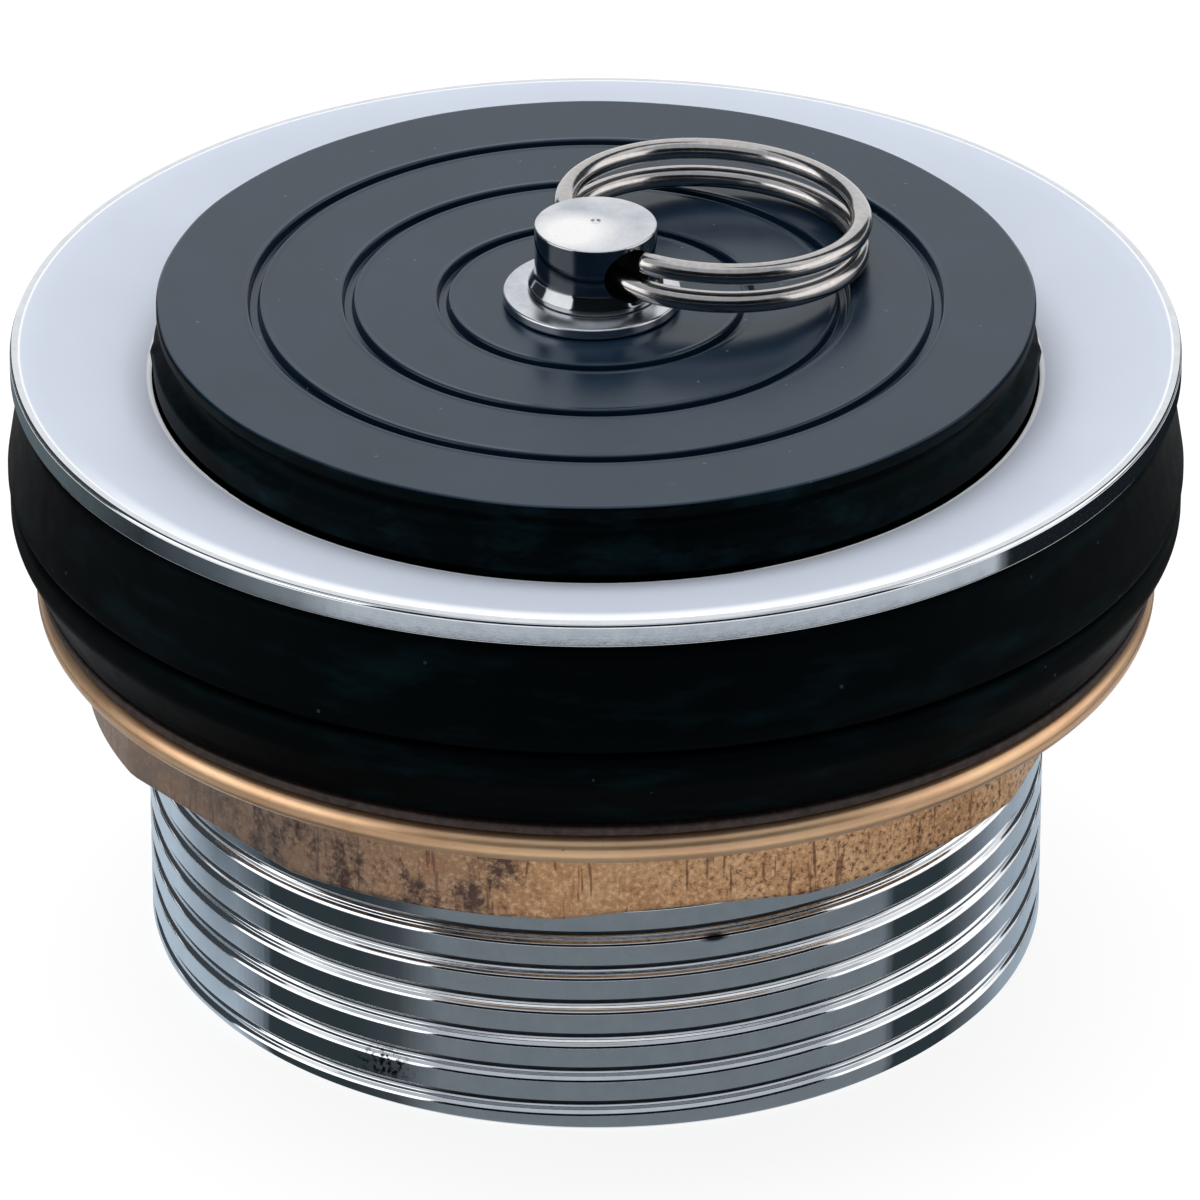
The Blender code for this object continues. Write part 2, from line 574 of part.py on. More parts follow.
def ring_frame():
    """Frame on the ring's hinge axis: X along the hole, Y towards the ring's far side."""
    lean = Matrix.Rotation(-RING_SLOPE, 4, "X")
    turn = Matrix.Rotation(RING_AZIMUTH - math.radians(90.0), 4, "Z")
    return Matrix.Translation((0.0, 0.0, RING_AXIS_HEIGHT)) @ turn @ lean


def ring_point(angle):
    """Centre line of the wire in the ring's frame; a full turn is 2 pi, and it crosses there."""
    crossing = (angle - 2.0 * math.pi) / RING_CROSSING_ANGLE
    level = -math.sin(math.pi / 2.0 * max(-1.0, min(1.0, crossing)))
    along = RING_MEAN_RADIUS * math.sin(angle)
    outward = RING_OFFSET - RING_MEAN_RADIUS * math.cos(angle)
    return Vector((along, outward, RING_HALF_SPACING * level))


def ring_points(per_turn):
    first = RING_END_ANGLE
    last = 4.0 * math.pi - RING_END_ANGLE
    count = round((last - first) / (2.0 * math.pi) * per_turn)
    return [ring_point(first + (last - first) * index / count) for index in range(count + 1)]


def least_ring_gap():
    """Least clear gap between the wire's turns, measured on fine points of its centre line."""
    fine = 240
    points = ring_points(fine)
    least = RING_MEAN_RADIUS
    for index, point in enumerate(points):
        for other in points[index + fine // 4:]:
            least = min(least, (point - other).length)
    return least - 2.0 * RING_WIRE_RADIUS


def make_split_ring(parts):
    """Two turns of wire that cross over inside the post, with an end beside each mouth of the hole."""
    curve = bpy.data.curves.new("split_ring", "CURVE")
    curve.dimensions = "3D"
    curve.bevel_depth = RING_WIRE_RADIUS
    curve.bevel_resolution = 1
    curve.use_fill_caps = True
    spline = curve.splines.new("POLY")
    points = ring_points(RING_POINTS_PER_TURN)
    spline.points.add(len(points) - 1)
    for target, point in zip(spline.points, points):
        target.co = (*point, 1.0)
    ring = bpy.data.objects.new("split_ring", curve)
    ring.matrix_world = ring_frame()
    parts.objects.link(ring)
    print("split_ring: least gap between its turns %.2f mm" % (least_ring_gap() * 1000.0))
    return ring


def dress(obj, material):
    obj.data.materials.clear()
    obj.data.materials.append(material)


def carried(empty_name, height, pieces, parts):
    """Puts the pieces that move together under one empty on their joint's axis."""
    empty = bpy.data.objects.new(empty_name, None)
    empty.empty_display_size = TOP_WASHER_RADIUS
    empty.location.z = height
    parts.objects.link(empty)
    bpy.context.view_layer.update()
    for piece in pieces:
        world = piece.matrix_world.copy()
        piece.parent = empty
        piece.matrix_parent_inverse = empty.matrix_world.inverted()
        piece.matrix_world = world


def main():
    clear_scene()
    parts = new_collection("drain_stopper")
    cutters = new_collection("cutters")

    body = make_drain_body(parts, cutters)
    upper_gasket = make_upper_gasket(parts)
    lower_gasket = make_lower_gasket(parts)
    slip_washer = make_slip_washer(parts)
    lock_nut = make_lock_nut(parts, cutters)
    plug = make_plug(parts)
    top_washer = make_top_washer(parts)
    bottom_washer = make_bottom_washer(parts)
    post = make_knob_post(parts, cutters)
    stem_nut = make_stem_nut(parts, cutters)
    ring = make_split_ring(parts)

    dress(body, new_material("body_chrome", (0.80, 0.82, 0.86), 0.08, 1.0))
    dress(upper_gasket, new_material("upper_gasket_rubber", (0.015, 0.022, 0.026), 0.45, 0.0))
    dress(lower_gasket, new_material("lower_gasket_rubber", (0.015, 0.022, 0.026), 0.45, 0.0))
    dress(slip_washer, new_material("washer_fibre", (0.12, 0.07, 0.05), 0.60, 0.0))
    dress(lock_nut, new_material("nut_brass", (0.62, 0.42, 0.21), 0.40, 1.0))
    dress(plug, new_material("plug_rubber", (0.045, 0.055, 0.062), 0.35, 0.0))
    dress(top_washer, new_material("top_washer_chrome", (0.80, 0.82, 0.84), 0.10, 1.0))
    dress(bottom_washer, new_material("bottom_washer_steel", (0.62, 0.62, 0.62), 0.35, 1.0))
    dress(post, new_material("post_chrome", (0.80, 0.82, 0.84), 0.08, 1.0))
    dress(stem_nut, new_material("stem_nut_steel", (0.60, 0.60, 0.60), 0.35, 1.0))
    dress(ring, new_material("ring_steel", (0.66, 0.64, 0.62), 0.18, 1.0))

    carried("clamp_axis", NUT_TOP, [lower_gasket, slip_washer], parts)
    carried("lock_nut_axis", NUT_BOTTOM, [lock_nut], parts)
    carried("plug_axis", PLUG_BOTTOM, [plug, top_washer, bottom_washer], parts)
    carried("knob_axis", POST_BOTTOM, [post, stem_nut], parts)


main()
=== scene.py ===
"""Looks of the bath drain fitting: fine meshes, finishes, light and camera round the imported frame.

Lengths are in metres. +Z points up, out of the drain, and the camera looks along +Y.
"""

import json
import math

import bmesh
import bpy
import numpy as np
from mathutils import Matrix, Vector


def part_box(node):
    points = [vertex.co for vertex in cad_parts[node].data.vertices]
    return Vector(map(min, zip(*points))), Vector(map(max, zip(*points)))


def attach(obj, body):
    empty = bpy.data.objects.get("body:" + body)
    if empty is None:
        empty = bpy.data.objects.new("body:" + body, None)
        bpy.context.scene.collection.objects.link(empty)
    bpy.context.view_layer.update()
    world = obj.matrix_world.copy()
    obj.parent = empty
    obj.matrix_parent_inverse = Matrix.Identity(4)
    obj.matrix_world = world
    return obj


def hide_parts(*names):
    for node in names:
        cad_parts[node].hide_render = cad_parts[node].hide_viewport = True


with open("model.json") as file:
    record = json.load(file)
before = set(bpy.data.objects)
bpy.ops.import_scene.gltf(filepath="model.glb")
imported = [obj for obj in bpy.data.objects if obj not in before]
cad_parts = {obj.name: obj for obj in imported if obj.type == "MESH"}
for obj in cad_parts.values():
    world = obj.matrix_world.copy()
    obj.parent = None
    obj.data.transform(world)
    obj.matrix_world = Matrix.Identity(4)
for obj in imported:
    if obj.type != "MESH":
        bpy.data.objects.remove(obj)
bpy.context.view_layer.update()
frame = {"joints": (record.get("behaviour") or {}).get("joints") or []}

# Camera: the photograph's angle, aim and field of view
CAMERA_ELEVATION = math.radians(29.3)
CAMERA_DISTANCE = 0.600
CAMERA_AIM = Vector((0.00025, -0.00758, 0.02489))
CAMERA_LENS = 305.61

LIGHT_AIM = Vector((0.0, 0.0, 0.02))

# Sizes that the frame's boxes don't give
THREAD_RADIUS = 0.026873
THREAD_PITCH = 0.0254 / 11.0
THREAD_BENDS = ((0.00046, 0.0), (0.0, 0.00042), (-0.00014, 0.00028), (-0.00033, 0.00025),
                (-0.00047, 0.00008), (-0.00060, 0.0))
THREAD_EASING = 0.00005
NUT_RIDGE_HEIGHT = 0.00030
THREAD_FRONT_HEIGHT = 0.01330
THREAD_LAST_TURN = 5.0
THREAD_FADE_TURNS = 0.25
THREAD_START = THREAD_FRONT_HEIGHT + THREAD_PITCH / 4.0
TAIL_CHAMFER = 0.0005
BORE_RADIUS = 0.023023
DISH_ANGLE = math.radians(15.0)
RIM_HEIGHT = 0.0015
RIM_EDGE_ROUND = 0.00038
ROLL_WIDTH = 0.0014
ROLL_RADIUS = ROLL_WIDTH / math.sin(DISH_ANGLE)
ROLL_PIECES = 12
LIP_WIDTH = 0.0012
NECK_RADIUS = 0.027603
NECK_END_ABOVE_SEAM = 0.0018
OPENING_RADIUS = 0.026223
SEAT_BOTTOM_RADIUS = 0.024223
SEAT_DEPTH = 0.0070
OPENING_ROUND = 0.0003
CROSS_TOP_DEPTH = 0.0185
CROSS_BAR_HEIGHT = 0.0035
CROSS_BAR_WIDTH = 0.0030
CROSS_HUB_RADIUS = 0.0042
CROSS_TURN = math.radians(20.0)
CLEARANCE = 0.0003
TAIL_RING_BORE = THREAD_RADIUS + CLEARANCE
NUT_COLLAR_HEIGHT = 0.0017
NUT_FLAT_RADIUS = 0.029003
NUT_CORNER_RADIUS = 0.029903
NUT_BODY_SHIFT = 0.0006
NUT_TURN = math.radians(-79.0)
SHANK_RADIUS = 0.0020
SHANK_HOLE_RADIUS = 0.0023
GROOVE_FIRST_RADIUS = 0.0090
GROOVE_STEP = 0.00555
GROOVE_COUNT = 3
GROOVE_WIDTH = 0.0007
GROOVE_DEPTH = 0.0005
PLUG_TOP_RISE = 0.0002
PLUG_SIDE_FROM = 0.0235
RING_WIRE_RADIUS = 0.00065
RING_MEAN_RADIUS = 0.0088
RING_TURN_GAP = 0.00048
RING_SPACING = RING_WIRE_RADIUS + RING_TURN_GAP / 2.0
RING_CROSSING_ANGLE = math.radians(36.0)
RING_END_CLEARANCE = 0.00030
POST_HOLE_RADIUS = 0.00163

# Meshing: points round a turned piece, and the distance under which points are welded
FINE_STEPS = 288
SMALL_STEPS = 96
MERGE = 1e-7

# Fillets that many edges share, and the shares of an edge that a fillet and its support may take
FINE_EDGE = 0.0002
SOFT_EDGE = 0.0003
FILLET_SHARE = 0.45
SUPPORT_SHARE = 0.48
SUPPORT_REACH = 1.3

FULL_TURN = 2.0 * math.pi
UP = Vector((0.0, 0.0, 1.0))
WHITE = (1.0, 1.0, 1.0)
BLOOM_TINT = (0.35, 0.9, 1.0, 1.0)


def link(obj):
    bpy.context.scene.collection.objects.link(obj)
    return obj


def rounded(corners, closed=True, pieces=5):
    """Points of a profile from corners (radius, height, fillet), with supports by each fillet."""
    points = []
    count = len(corners)
    for index, (r, z, fillet) in enumerate(corners):
        here = Vector((r, z))
        if fillet <= 0.0 or (not closed and index in (0, count - 1)):
            points.append((r, z))
            continue
        before = Vector(corners[index - 1][:2]) - here
        after = Vector(corners[(index + 1) % count][:2]) - here
        half = before.angle(after) / 2.0
        reach = min(fillet / math.tan(half), FILLET_SHARE * before.length,
                    FILLET_SHARE * after.length)
        ways = before.normalized(), after.normalized()
        radius = reach * math.tan(half)
        centre = here + (ways[0] + ways[1]).normalized() * (radius / math.sin(half))
        start = here + ways[0] * reach - centre
        sweep = start.angle_signed(here + ways[1] * reach - centre)
        arc = [tuple(centre + Matrix.Rotation(-sweep * piece / pieces, 2) @ start)
               for piece in range(pieces + 1)]
        supports = [[tuple(here + way * (reach * SUPPORT_REACH))]
                    if reach * SUPPORT_REACH < SUPPORT_SHARE * side.length else []
                    for way, side in zip(ways, (before, after))]
        points += supports[0] + arc + supports[1]
    return points


def column_angles(steps):
    return np.arange(steps) * FULL_TURN / steps


def around(radius, angles, heights):
    """Points at radii, angles and heights round Z."""
    places = radius * np.cos(angles), radius * np.sin(angles), heights
    return np.stack(np.broadcast_arrays(*places), axis=1)


def ring_rows(profile, steps, warp=None):
    """Rows of points round Z for a profile; warp may move a row's points out or in."""
    angles = column_angles(steps)
    return [around(warp(angles, r, z) if warp else r, angles, z) for r, z in profile]


def skin(rows, closed=False, joined=True):
    """Points and faces of a grid whose rows run down the outer side and whose columns go round.

    Closed grids join their last row to the first, and joined ones their last column.
    """
    width = len(rows[0])
    faces = []
    for row in range(len(rows) if closed else len(rows) - 1):
        here = row * width
        below = (row + 1) % len(rows) * width
        for column in range(width if joined else width - 1):
            following = (column + 1) % width
            faces.append((here + column, below + column, below + following, here + following))
    return np.concatenate(rows), faces


def swept(sections):
    """Skin along outlines of one size, with a face over each end."""
    points, faces = skin(sections)
    count = len(sections[0])
    faces.append(tuple(range(count)))
    faces.append(tuple(reversed(range(len(points) - count, len(points)))))
    return points, faces


def solid(name, grids, sharp=35.0):
    """One object from several (points, faces) grids, welded where they meet."""
    mesh = bpy.data.meshes.new(name)
    points = []
    faces = []
    for grid_points, grid_faces in grids:
        faces += [tuple(index + len(points) for index in face) for face in grid_faces]
        points += [tuple(point) for point in grid_points]
    mesh.from_pydata(points, [], faces)
    work = bmesh.new()
    work.from_mesh(mesh)
    bmesh.ops.remove_doubles(work, verts=work.verts, dist=MERGE)
    bmesh.ops.dissolve_degenerate(work, edges=work.edges, dist=MERGE)
    work.to_mesh(mesh)
    work.free()
    mesh.shade_smooth()
    mesh.set_sharp_from_angle(angle=math.radians(sharp))
    return link(bpy.data.objects.new(name, mesh))


def turned(body, node, slot, material, corners, pieces=5, steps=FINE_STEPS, centre=(0.0, 0.0)):
    """A closed turned piece from its profile's corners, in the place of a node."""
    piece = solid(node + "_fine", [skin(ring_rows(rounded(corners, pieces=pieces), steps), True)])
    piece.location = (*centre, 0.0)
    stands_for(piece, body, node, slot, material)


def stands_for(obj, body, node, slot, *materials):
    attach(obj, body)
    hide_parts(node)
    obj.data.materials.clear()
    for material in materials:
        obj.data.materials.append(material)


def math_node(tree, operation, first, second=None):
    """A Math node over two values, each a number or another node's output."""
    node = tree.nodes.new("ShaderNodeMath")
    node.operation = operation
    for socket, value in zip(node.inputs, (first, second)):
        if isinstance(value, (int, float)):
            socket.default_value = value
        elif value is not None:
            tree.links.new(value, socket)
    return node


class Finish:
    """A Principled material and the few node shorthands that the finishes share."""

    def __init__(self, name, roughness, metallic, **sockets):
        self.material = bpy.data.materials.new(name)
        self.material.use_nodes = True
        self.tree = self.material.node_tree
        self.shader = self.tree.nodes["Principled BSDF"]
        self.fill(self.shader, Roughness=roughness, Metallic=metallic, **sockets)
        self.place = self.new("TexCoord").outputs["Object"]
        self.normal = None

    def fill(self, node, **values):
        for socket, value in values.items():
            node.inputs[socket.replace("_", " ")].default_value = value

    def new(self, kind, **values):
        node = self.tree.nodes.new("ShaderNode" + kind)
        self.fill(node, **values)
        return node

    def link(self, source, target):
        self.tree.links.new(source, target)

    def math(self, operation, first, second=None):
        return math_node(self.tree, operation, first, second).outputs[0]

    def times(self, first, second):
        return self.math("MULTIPLY", first, second)

    def most(self, first, second):
        return self.math("MAXIMUM", first, second)

    def stretched(self, scale):
        """Object coordinates times a vector, so that a pattern is long along the small ones."""
        node = self.new("Mapping", Scale=scale)
        self.link(self.place, node.inputs["Vector"])
        return node.outputs[0]

    def axes(self):
        split = self.new("SeparateXYZ")
        self.link(self.place, split.inputs[0])
        return split.outputs

    def from_axis(self):
        """Distance from Z."""
        x, y, _ = self.axes()
        return self.math("SQRT", self.math("ADD", self.times(x, x), self.times(y, y)))

    def noise(self, scale, detail=4.0, roughness=0.55, vector=None):
        node = self.new("TexNoise", Scale=scale, Detail=detail, Roughness=roughness)
        self.link(vector or self.place, node.inputs["Vector"])
        return node.outputs["Fac"]

    def turned_lines(self, radial, height, detail=2.0):
        """Fine lines round Z: noise over the distance from Z and the height alone."""
        join = self.new("CombineXYZ")
        self.link(self.times(self.from_axis(), radial), join.inputs[0])
        self.link(self.times(self.axes()[2], height), join.inputs[1])
        return self.noise(1.0, detail, vector=join.outputs[0])

    def between(self, value, start, end):
        """0 up to a start and 1 from an end on, eased between them."""
        node = self.new("MapRange", From_Min=start, From_Max=end)
        node.interpolation_type = "SMOOTHSTEP"
        self.link(value, node.inputs["Value"])
        return node.outputs[0]

    def near(self, place, radius, squash=1.0):
        """1 within a radius of a point of the object, less up and down, fading to 0 beyond it."""
        node = self.new("VectorMath")
        node.operation = "DISTANCE"
        self.link(self.stretched((1.0, 1.0, squash)), node.inputs[0])
        node.inputs[1].default_value = (place[0], place[1], place[2] * squash)
        share = self.math("DIVIDE", node.outputs["Value"], radius)
        return self.ramp(share, (0.45, 1.0), (1.0, 0.0))

    def specks(self, scale):
        """1 in small round spots, one for each cell, and 0 between them."""
        node = self.new("TexVoronoi", Scale=scale)
        self.link(self.place, node.inputs["Vector"])
        return self.math("LESS_THAN", node.outputs["Distance"], 0.05)

    def ramp(self, factor, *stops):
        """A colour ramp from (place, colour) stops; a number stands for a grey."""
        node = self.new("ValToRGB")
        elements = node.color_ramp.elements
        while len(elements) < len(stops):
            elements.new(1.0)
        for element, (place, colour) in zip(elements, stops):
            element.position = place
            element.color = (*((colour,) * 3 if isinstance(colour, float) else colour), 1.0)
        self.link(factor, node.inputs[0])
        return node.outputs[0]

    def tones(self, factor, low, high):
        """Two colours that blend over the middle of a noise."""
        return self.ramp(factor, (0.3, low), (0.7, high))

    def blend(self, factor, first, second):
        node = self.new("Mix")
        node.data_type = "RGBA"
        self.link(factor, node.inputs["Factor"])
        for socket, value in ((node.inputs[6], first), (node.inputs[7], second)):
            if isinstance(value, tuple):
                socket.default_value = (*value, 1.0)
            else:
                self.link(value, socket)
        return node.outputs[2]

    def colour(self, source):
        self.link(source, self.shader.inputs["Base Color"])

    def roughen(self, source, low, high):
        """Roughness between two values, by a factor."""
        node = self.new("MapRange", To_Min=low, To_Max=high)
        self.link(source, node.inputs["Value"])
        self.link(node.outputs[0], self.shader.inputs["Roughness"])

    def bump(self, source, depth, strength=0.5):
        """Adds relief: a factor of 1 stands that many metres proud."""
        node = self.new("Bump", Distance=depth, Strength=strength)
        self.link(source, node.inputs["Height"])
        if self.normal is not None:
            self.link(self.normal, node.inputs["Normal"])
        self.normal = node.outputs[0]
        self.link(self.normal, self.shader.inputs["Normal"])


def polished_chrome():
    """Chrome on the rim, neck, thread and bore: mirror bright, with faint turned lines and haze."""
    finish = Finish("polished_chrome", 0.05, 1.0)
    plate = finish.tones(finish.noise(700.0, 5.0, 0.65), (0.66, 0.69, 0.73), (0.75, 0.78, 0.82))
    grain = finish.ramp(finish.noise(2300.0, 5.0, 0.7), (0.50, 0.0), (0.56, 1.0))
    scuff = finish.times(finish.near((-0.0124, -0.0239, 0.0029), 0.0023, 1.9), grain)
    nick = finish.near((0.0069, -0.0260, 0.0128), 0.0010, 3.0)
    finish.colour(finish.blend(finish.most(scuff, nick), plate, (0.03, 0.035, 0.04)))
    finish.roughen(finish.noise(1300.0), 0.03, 0.10)
    finish.bump(finish.turned_lines(7000.0, 7000.0), 0.0000008)
    finish.bump(finish.noise(2600.0), 0.000002, 0.4)
    return finish.material


def grained(name, roughness, metallic, scale, low, high, rough, detail=4.0):
    """A finish whose colour and roughness follow one grain."""
    finish = Finish(name, roughness, metallic)
    grain = finish.noise(scale, detail)
    finish.colour(finish.tones(grain, low, high))
    finish.roughen(grain, *rough)
    return finish, grain


def thread_root_shade():
    """The bottom of the thread: thin, dull plating, painted nearly black as the shade that falls in
    the groove.
    """
    return grained("thread_root_shade", 0.4, 0.6, 1500.0, (0.008, 0.011, 0.014), (0.035, 0.045, 0.055),
                   (0.3, 0.5))[0].material


def satin_chrome():
    """The dish of the flange: an even satin with very fine turned rings, with a painted highlight
    along its outer and inner edges and across the front of its rounded rim.
    """
    finish = Finish("satin_chrome", 0.46, 0.08, Specular_IOR_Level=0.3)
    grain = finish.noise(5200.0, 2.0)
    soft = finish.tones(finish.noise(90.0, 3.0), (0.525, 0.565, 0.645), (0.555, 0.595, 0.675))
    even = finish.blend(finish.times(grain, 0.3), soft, (0.62, 0.66, 0.74))
    radius = finish.from_axis()
    # Painted highlights: near-white across the front of the rounded rim, and all round the rim's
    # outer edge and the opening's edge.
    front = finish.between(finish.axes()[1], -0.012, -0.030)
    front_rim_highlight = finish.times(finish.between(radius, 0.0326, 0.0336), front)
    edges = finish.most(finish.between(radius, 0.0338, 0.0340),
                        finish.between(radius, 0.02655, 0.02640))
    finish.colour(finish.blend(finish.most(front_rim_highlight, edges), even, (0.90, 0.91, 0.93)))
    finish.roughen(grain, 0.42, 0.52)
    finish.bump(finish.turned_lines(14000.0, 0.0), 0.000003, 0.35)
    finish.bump(grain, 0.000003, 0.4)
    return finish.material


def gasket_rubber():
    """Matt black rubber with a faint blue-green bloom, partly a painted sheen, and a little dust."""
    finish = Finish("gasket_rubber", 0.5, 0.0, Specular_IOR_Level=0.035, Specular_Tint=BLOOM_TINT)
    bloom_and_sheen = finish.noise(130.0, 5.0, 0.6, finish.stretched((1.0, 1.0, 4.0)))
    base = finish.ramp(bloom_and_sheen, (0.50, (0.0007, 0.0008, 0.0012)), (0.75, (0.0015, 0.007, 0.009)))
    finish.colour(finish.blend(finish.specks(420.0), base, (0.015, 0.03, 0.032)))
    finish.roughen(finish.noise(700.0), 0.40, 0.62)
    finish.bump(finish.noise(3200.0, 3.0), 0.000012)
    return finish.material


def plug_rubber():
    """Satin grey-black rubber of the stopper's top, fine grained, with a few specks of dust."""
    finish = Finish("plug_rubber", 0.26, 0.0, Specular_IOR_Level=0.5,
                    Specular_Tint=(0.66, 0.86, 1.0, 1.0))
    base = finish.tones(finish.noise(160.0), (0.002, 0.009, 0.020), (0.005, 0.014, 0.029))
    finish.colour(finish.blend(finish.specks(520.0), base, (0.05, 0.07, 0.08)))
    finish.roughen(finish.noise(1400.0), 0.18, 0.30)
    finish.bump(finish.noise(4200.0, 3.0), 0.000005, 0.4)
    return finish.material


def plug_side_rubber():
    """The stopper's moulded side: duller and blacker than its top, with a blue-green bloom that is
    partly a painted sheen.
    """
    finish = Finish("plug_side_rubber", 0.5, 0.0, Specular_IOR_Level=0.045,
                    Specular_Tint=BLOOM_TINT)
    bloom_and_sheen = finish.noise(220.0, 6.0, 0.7, finish.stretched((1.0, 1.0, 2.5)))
    finish.colour(finish.ramp(bloom_and_sheen, (0.47, (0.0008, 0.0010, 0.0014)),
                              (0.64, (0.0025, 0.009, 0.012)), (0.80, (0.012, 0.026, 0.030))))
    finish.bump(finish.noise(3600.0, 3.0), 0.000010)
    return finish.material


def nut_brass():
    """Raw brass: stained on one side, pitted on the other, with file marks down the flats."""
    finish = Finish("nut_brass", 0.36, 0.75)
    warm = finish.noise(300.0, 6.0, 0.65)
    grain = finish.noise(1500.0, 6.0, 0.75)
    marks = finish.noise(2400.0, 3.0, 0.6, finish.stretched((1.0, 1.0, 0.10)))
    pits = finish.noise(3000.0, 4.0, 0.7)
    metal = finish.ramp(warm, (0.30, (0.54, 0.27, 0.13)), (0.50, (0.68, 0.38, 0.19)),
                        (0.70, (0.80, 0.51, 0.28)))
    light = finish.blend(finish.ramp(pits, (0.36, 0.7), (0.48, 0.0)), metal, (0.95, 0.66, 0.40))
    dulled = finish.blend(finish.ramp(pits, (0.53, 0.0), (0.68, 0.5)), light, (0.30, 0.14, 0.08))
    marked = finish.blend(finish.ramp(marks, (0.60, 0.0), (0.66, 0.7)), dulled,
                          (0.16, 0.06, 0.035))

    # The areas lie side by side along X, with borders that wander by up to 10 mm
    wander = finish.times(finish.math("SUBTRACT", finish.noise(120.0, 3.0), 0.5), 0.02)
    across = finish.math("ADD", finish.axes()[0], wander)
    left = finish.math("DIVIDE", finish.math("ADD", across, 0.013), 0.011)
    left_area = finish.math("SUBTRACT", 1.0, finish.times(left, left))
    blot = finish.math("ADD", finish.times(warm, 0.6), finish.times(grain, 0.4))
    stain = finish.times(finish.ramp(left_area, (0.0, 0.0), (0.6, 1.0)),
                         finish.ramp(blot, (0.47, 0.0), (0.56, 0.9)))
    pitted = finish.times(finish.ramp(finish.times(across, 40.0), (0.05, 0.0), (0.35, 1.0)),
                          finish.ramp(pits, (0.54, 0.0), (0.62, 0.8)))
    # Greyer towards the left, along -X.
    cloud = finish.times(finish.ramp(finish.times(across, -50.0), (0.15, 0.0), (0.85, 1.0)),
                         finish.ramp(warm, (0.30, 0.45), (0.60, 0.85)))
    greyed_left = finish.blend(cloud, marked, (0.22, 0.185, 0.17))
    finish.colour(finish.blend(finish.most(stain, pitted), greyed_left, (0.08, 0.045, 0.045)))
    finish.roughen(grain, 0.30, 0.52)
    finish.bump(marks, 0.00002)
    finish.bump(grain, 0.00003)
    return finish.material


def collar_brass():
    """The nut's turned collar: cleaner and brighter, with fine turned lines."""
    finish = Finish("collar_brass", 0.30, 0.8, Coat_Weight=0.25, Coat_Roughness=0.22)
    metal = finish.tones(finish.noise(200.0), (0.67, 0.395, 0.225), (0.81, 0.535, 0.315))
    pits = finish.noise(1900.0, 4.0, 0.7)
    finish.colour(finish.blend(finish.ramp(pits, (0.66, 0.0), (0.74, 0.8)), metal,
                               (0.25, 0.13, 0.08)))
    finish.roughen(pits, 0.26, 0.42)
    finish.bump(finish.turned_lines(12000.0, 12000.0, 3.0), 0.000006)
    finish.bump(pits, 0.000008, 0.4)
    return finish.material


def fibre():
    """Brown pressed fibre of the slip washer."""
    finish = Finish("washer_fibre", 0.6, 0.0, Specular_IOR_Level=0.3)
    grain = finish.noise(1800.0, 5.0, 0.7)
    finish.colour(finish.tones(grain, (0.014, 0.009, 0.008), (0.07, 0.042, 0.034)))
    finish.bump(grain, 0.00002, 0.6)
    return finish.material


def knob_chrome(name, low, high, plate=((0.46, 0.49, 0.55), (0.66, 0.68, 0.72)), highlight_at=None):
    """Chrome of the post and its washer, between two roughnesses, with a painted highlight round a
    given point.
    """
    finish = Finish(name, low, 1.0)
    plating = finish.ramp(finish.noise(260.0, 5.0, 0.6), (0.34, plate[0]), (0.58, plate[1]))
    if highlight_at is not None:
        plating = finish.blend(finish.near(highlight_at, 0.0029), plating, (0.94, 0.94, 0.94))
    finish.colour(plating)
    finish.roughen(finish.noise(2100.0), low, high)
    finish.bump(finish.turned_lines(16000.0, 9000.0), 0.000003, 0.4)
    return finish.material


def hole_shade_metal():
    """The wall of the hole across the post: unplated and dull, and painted nearly black as the shade
    inside the hole.
    """
    return grained("hole_shade_metal", 0.4, 0.7, 2500.0, (0.012, 0.012, 0.014), (0.05, 0.05, 0.055),
                   (0.3, 0.5))[0].material


def drawn_steel():
    """Spring wire of the split ring: bright and slightly warm, with a drawn grain."""
    finish, grain = grained("drawn_steel", 0.12, 1.0, 2600.0, (0.44, 0.425, 0.42),
                            (0.52, 0.505, 0.50), (0.12, 0.20), 3.0)
    finish.bump(grain, 0.0000015)
    return finish.material


def plain_steel():
    """Zinc-grey steel of the hidden washer and nut."""
    finish, grain = grained("plain_steel", 0.35, 1.0, 1500.0, (0.50, 0.50, 0.51),
                            (0.64, 0.64, 0.65), (0.28, 0.45), 5.0)
    finish.bump(grain, 0.000008)
    return finish.material


def smooth_step(value):
    value = np.clip(value, 0.0, 1.0)
    return value * value * (3.0 - 2.0 * value)


def groove_depth(offset):
    """Depth of the thread's groove by height over its middle, a tool step in its lower flank."""
    places, depths = zip(*reversed(THREAD_BENDS))
    shifts = np.linspace(-0.5, 0.5, 9) * THREAD_EASING
    return sum(np.interp(offset + shift, places, depths) for shift in shifts) / len(shifts)


def thread_offsets():
    """Places of the rows across one pitch, from its top to its bottom, close where it bends."""
    rows = [0.00090, 0.00065, 0.00024, -0.00080]
    for place, _ in THREAD_BENDS:
        rows += [place + THREAD_EASING * share for share in (0.7, 0.35, 0.0, -0.35, -0.7)]
    return sorted(rows, reverse=True) + [-THREAD_PITCH / 2.0]


def thread_phase(angle, height):
    """Height over the groove's middle in turns, whole where the groove is deepest."""
    return (height - THREAD_START) / THREAD_PITCH - angle / FULL_TURN


def tail_radius(angles, heights):
    """Radius of the threaded tail: its thread, the thread's run-out and the chamfered end."""
    phase = thread_phase(angles, heights)
    turn = np.round(phase)
    fade = smooth_step((THREAD_LAST_TURN - turn - angles / FULL_TURN) / THREAD_FADE_TURNS)
    depth = groove_depth((phase - turn) * THREAD_PITCH) * fade
    return THREAD_RADIUS - np.maximum(depth, np.maximum(0.0, TAIL_CHAMFER - heights))


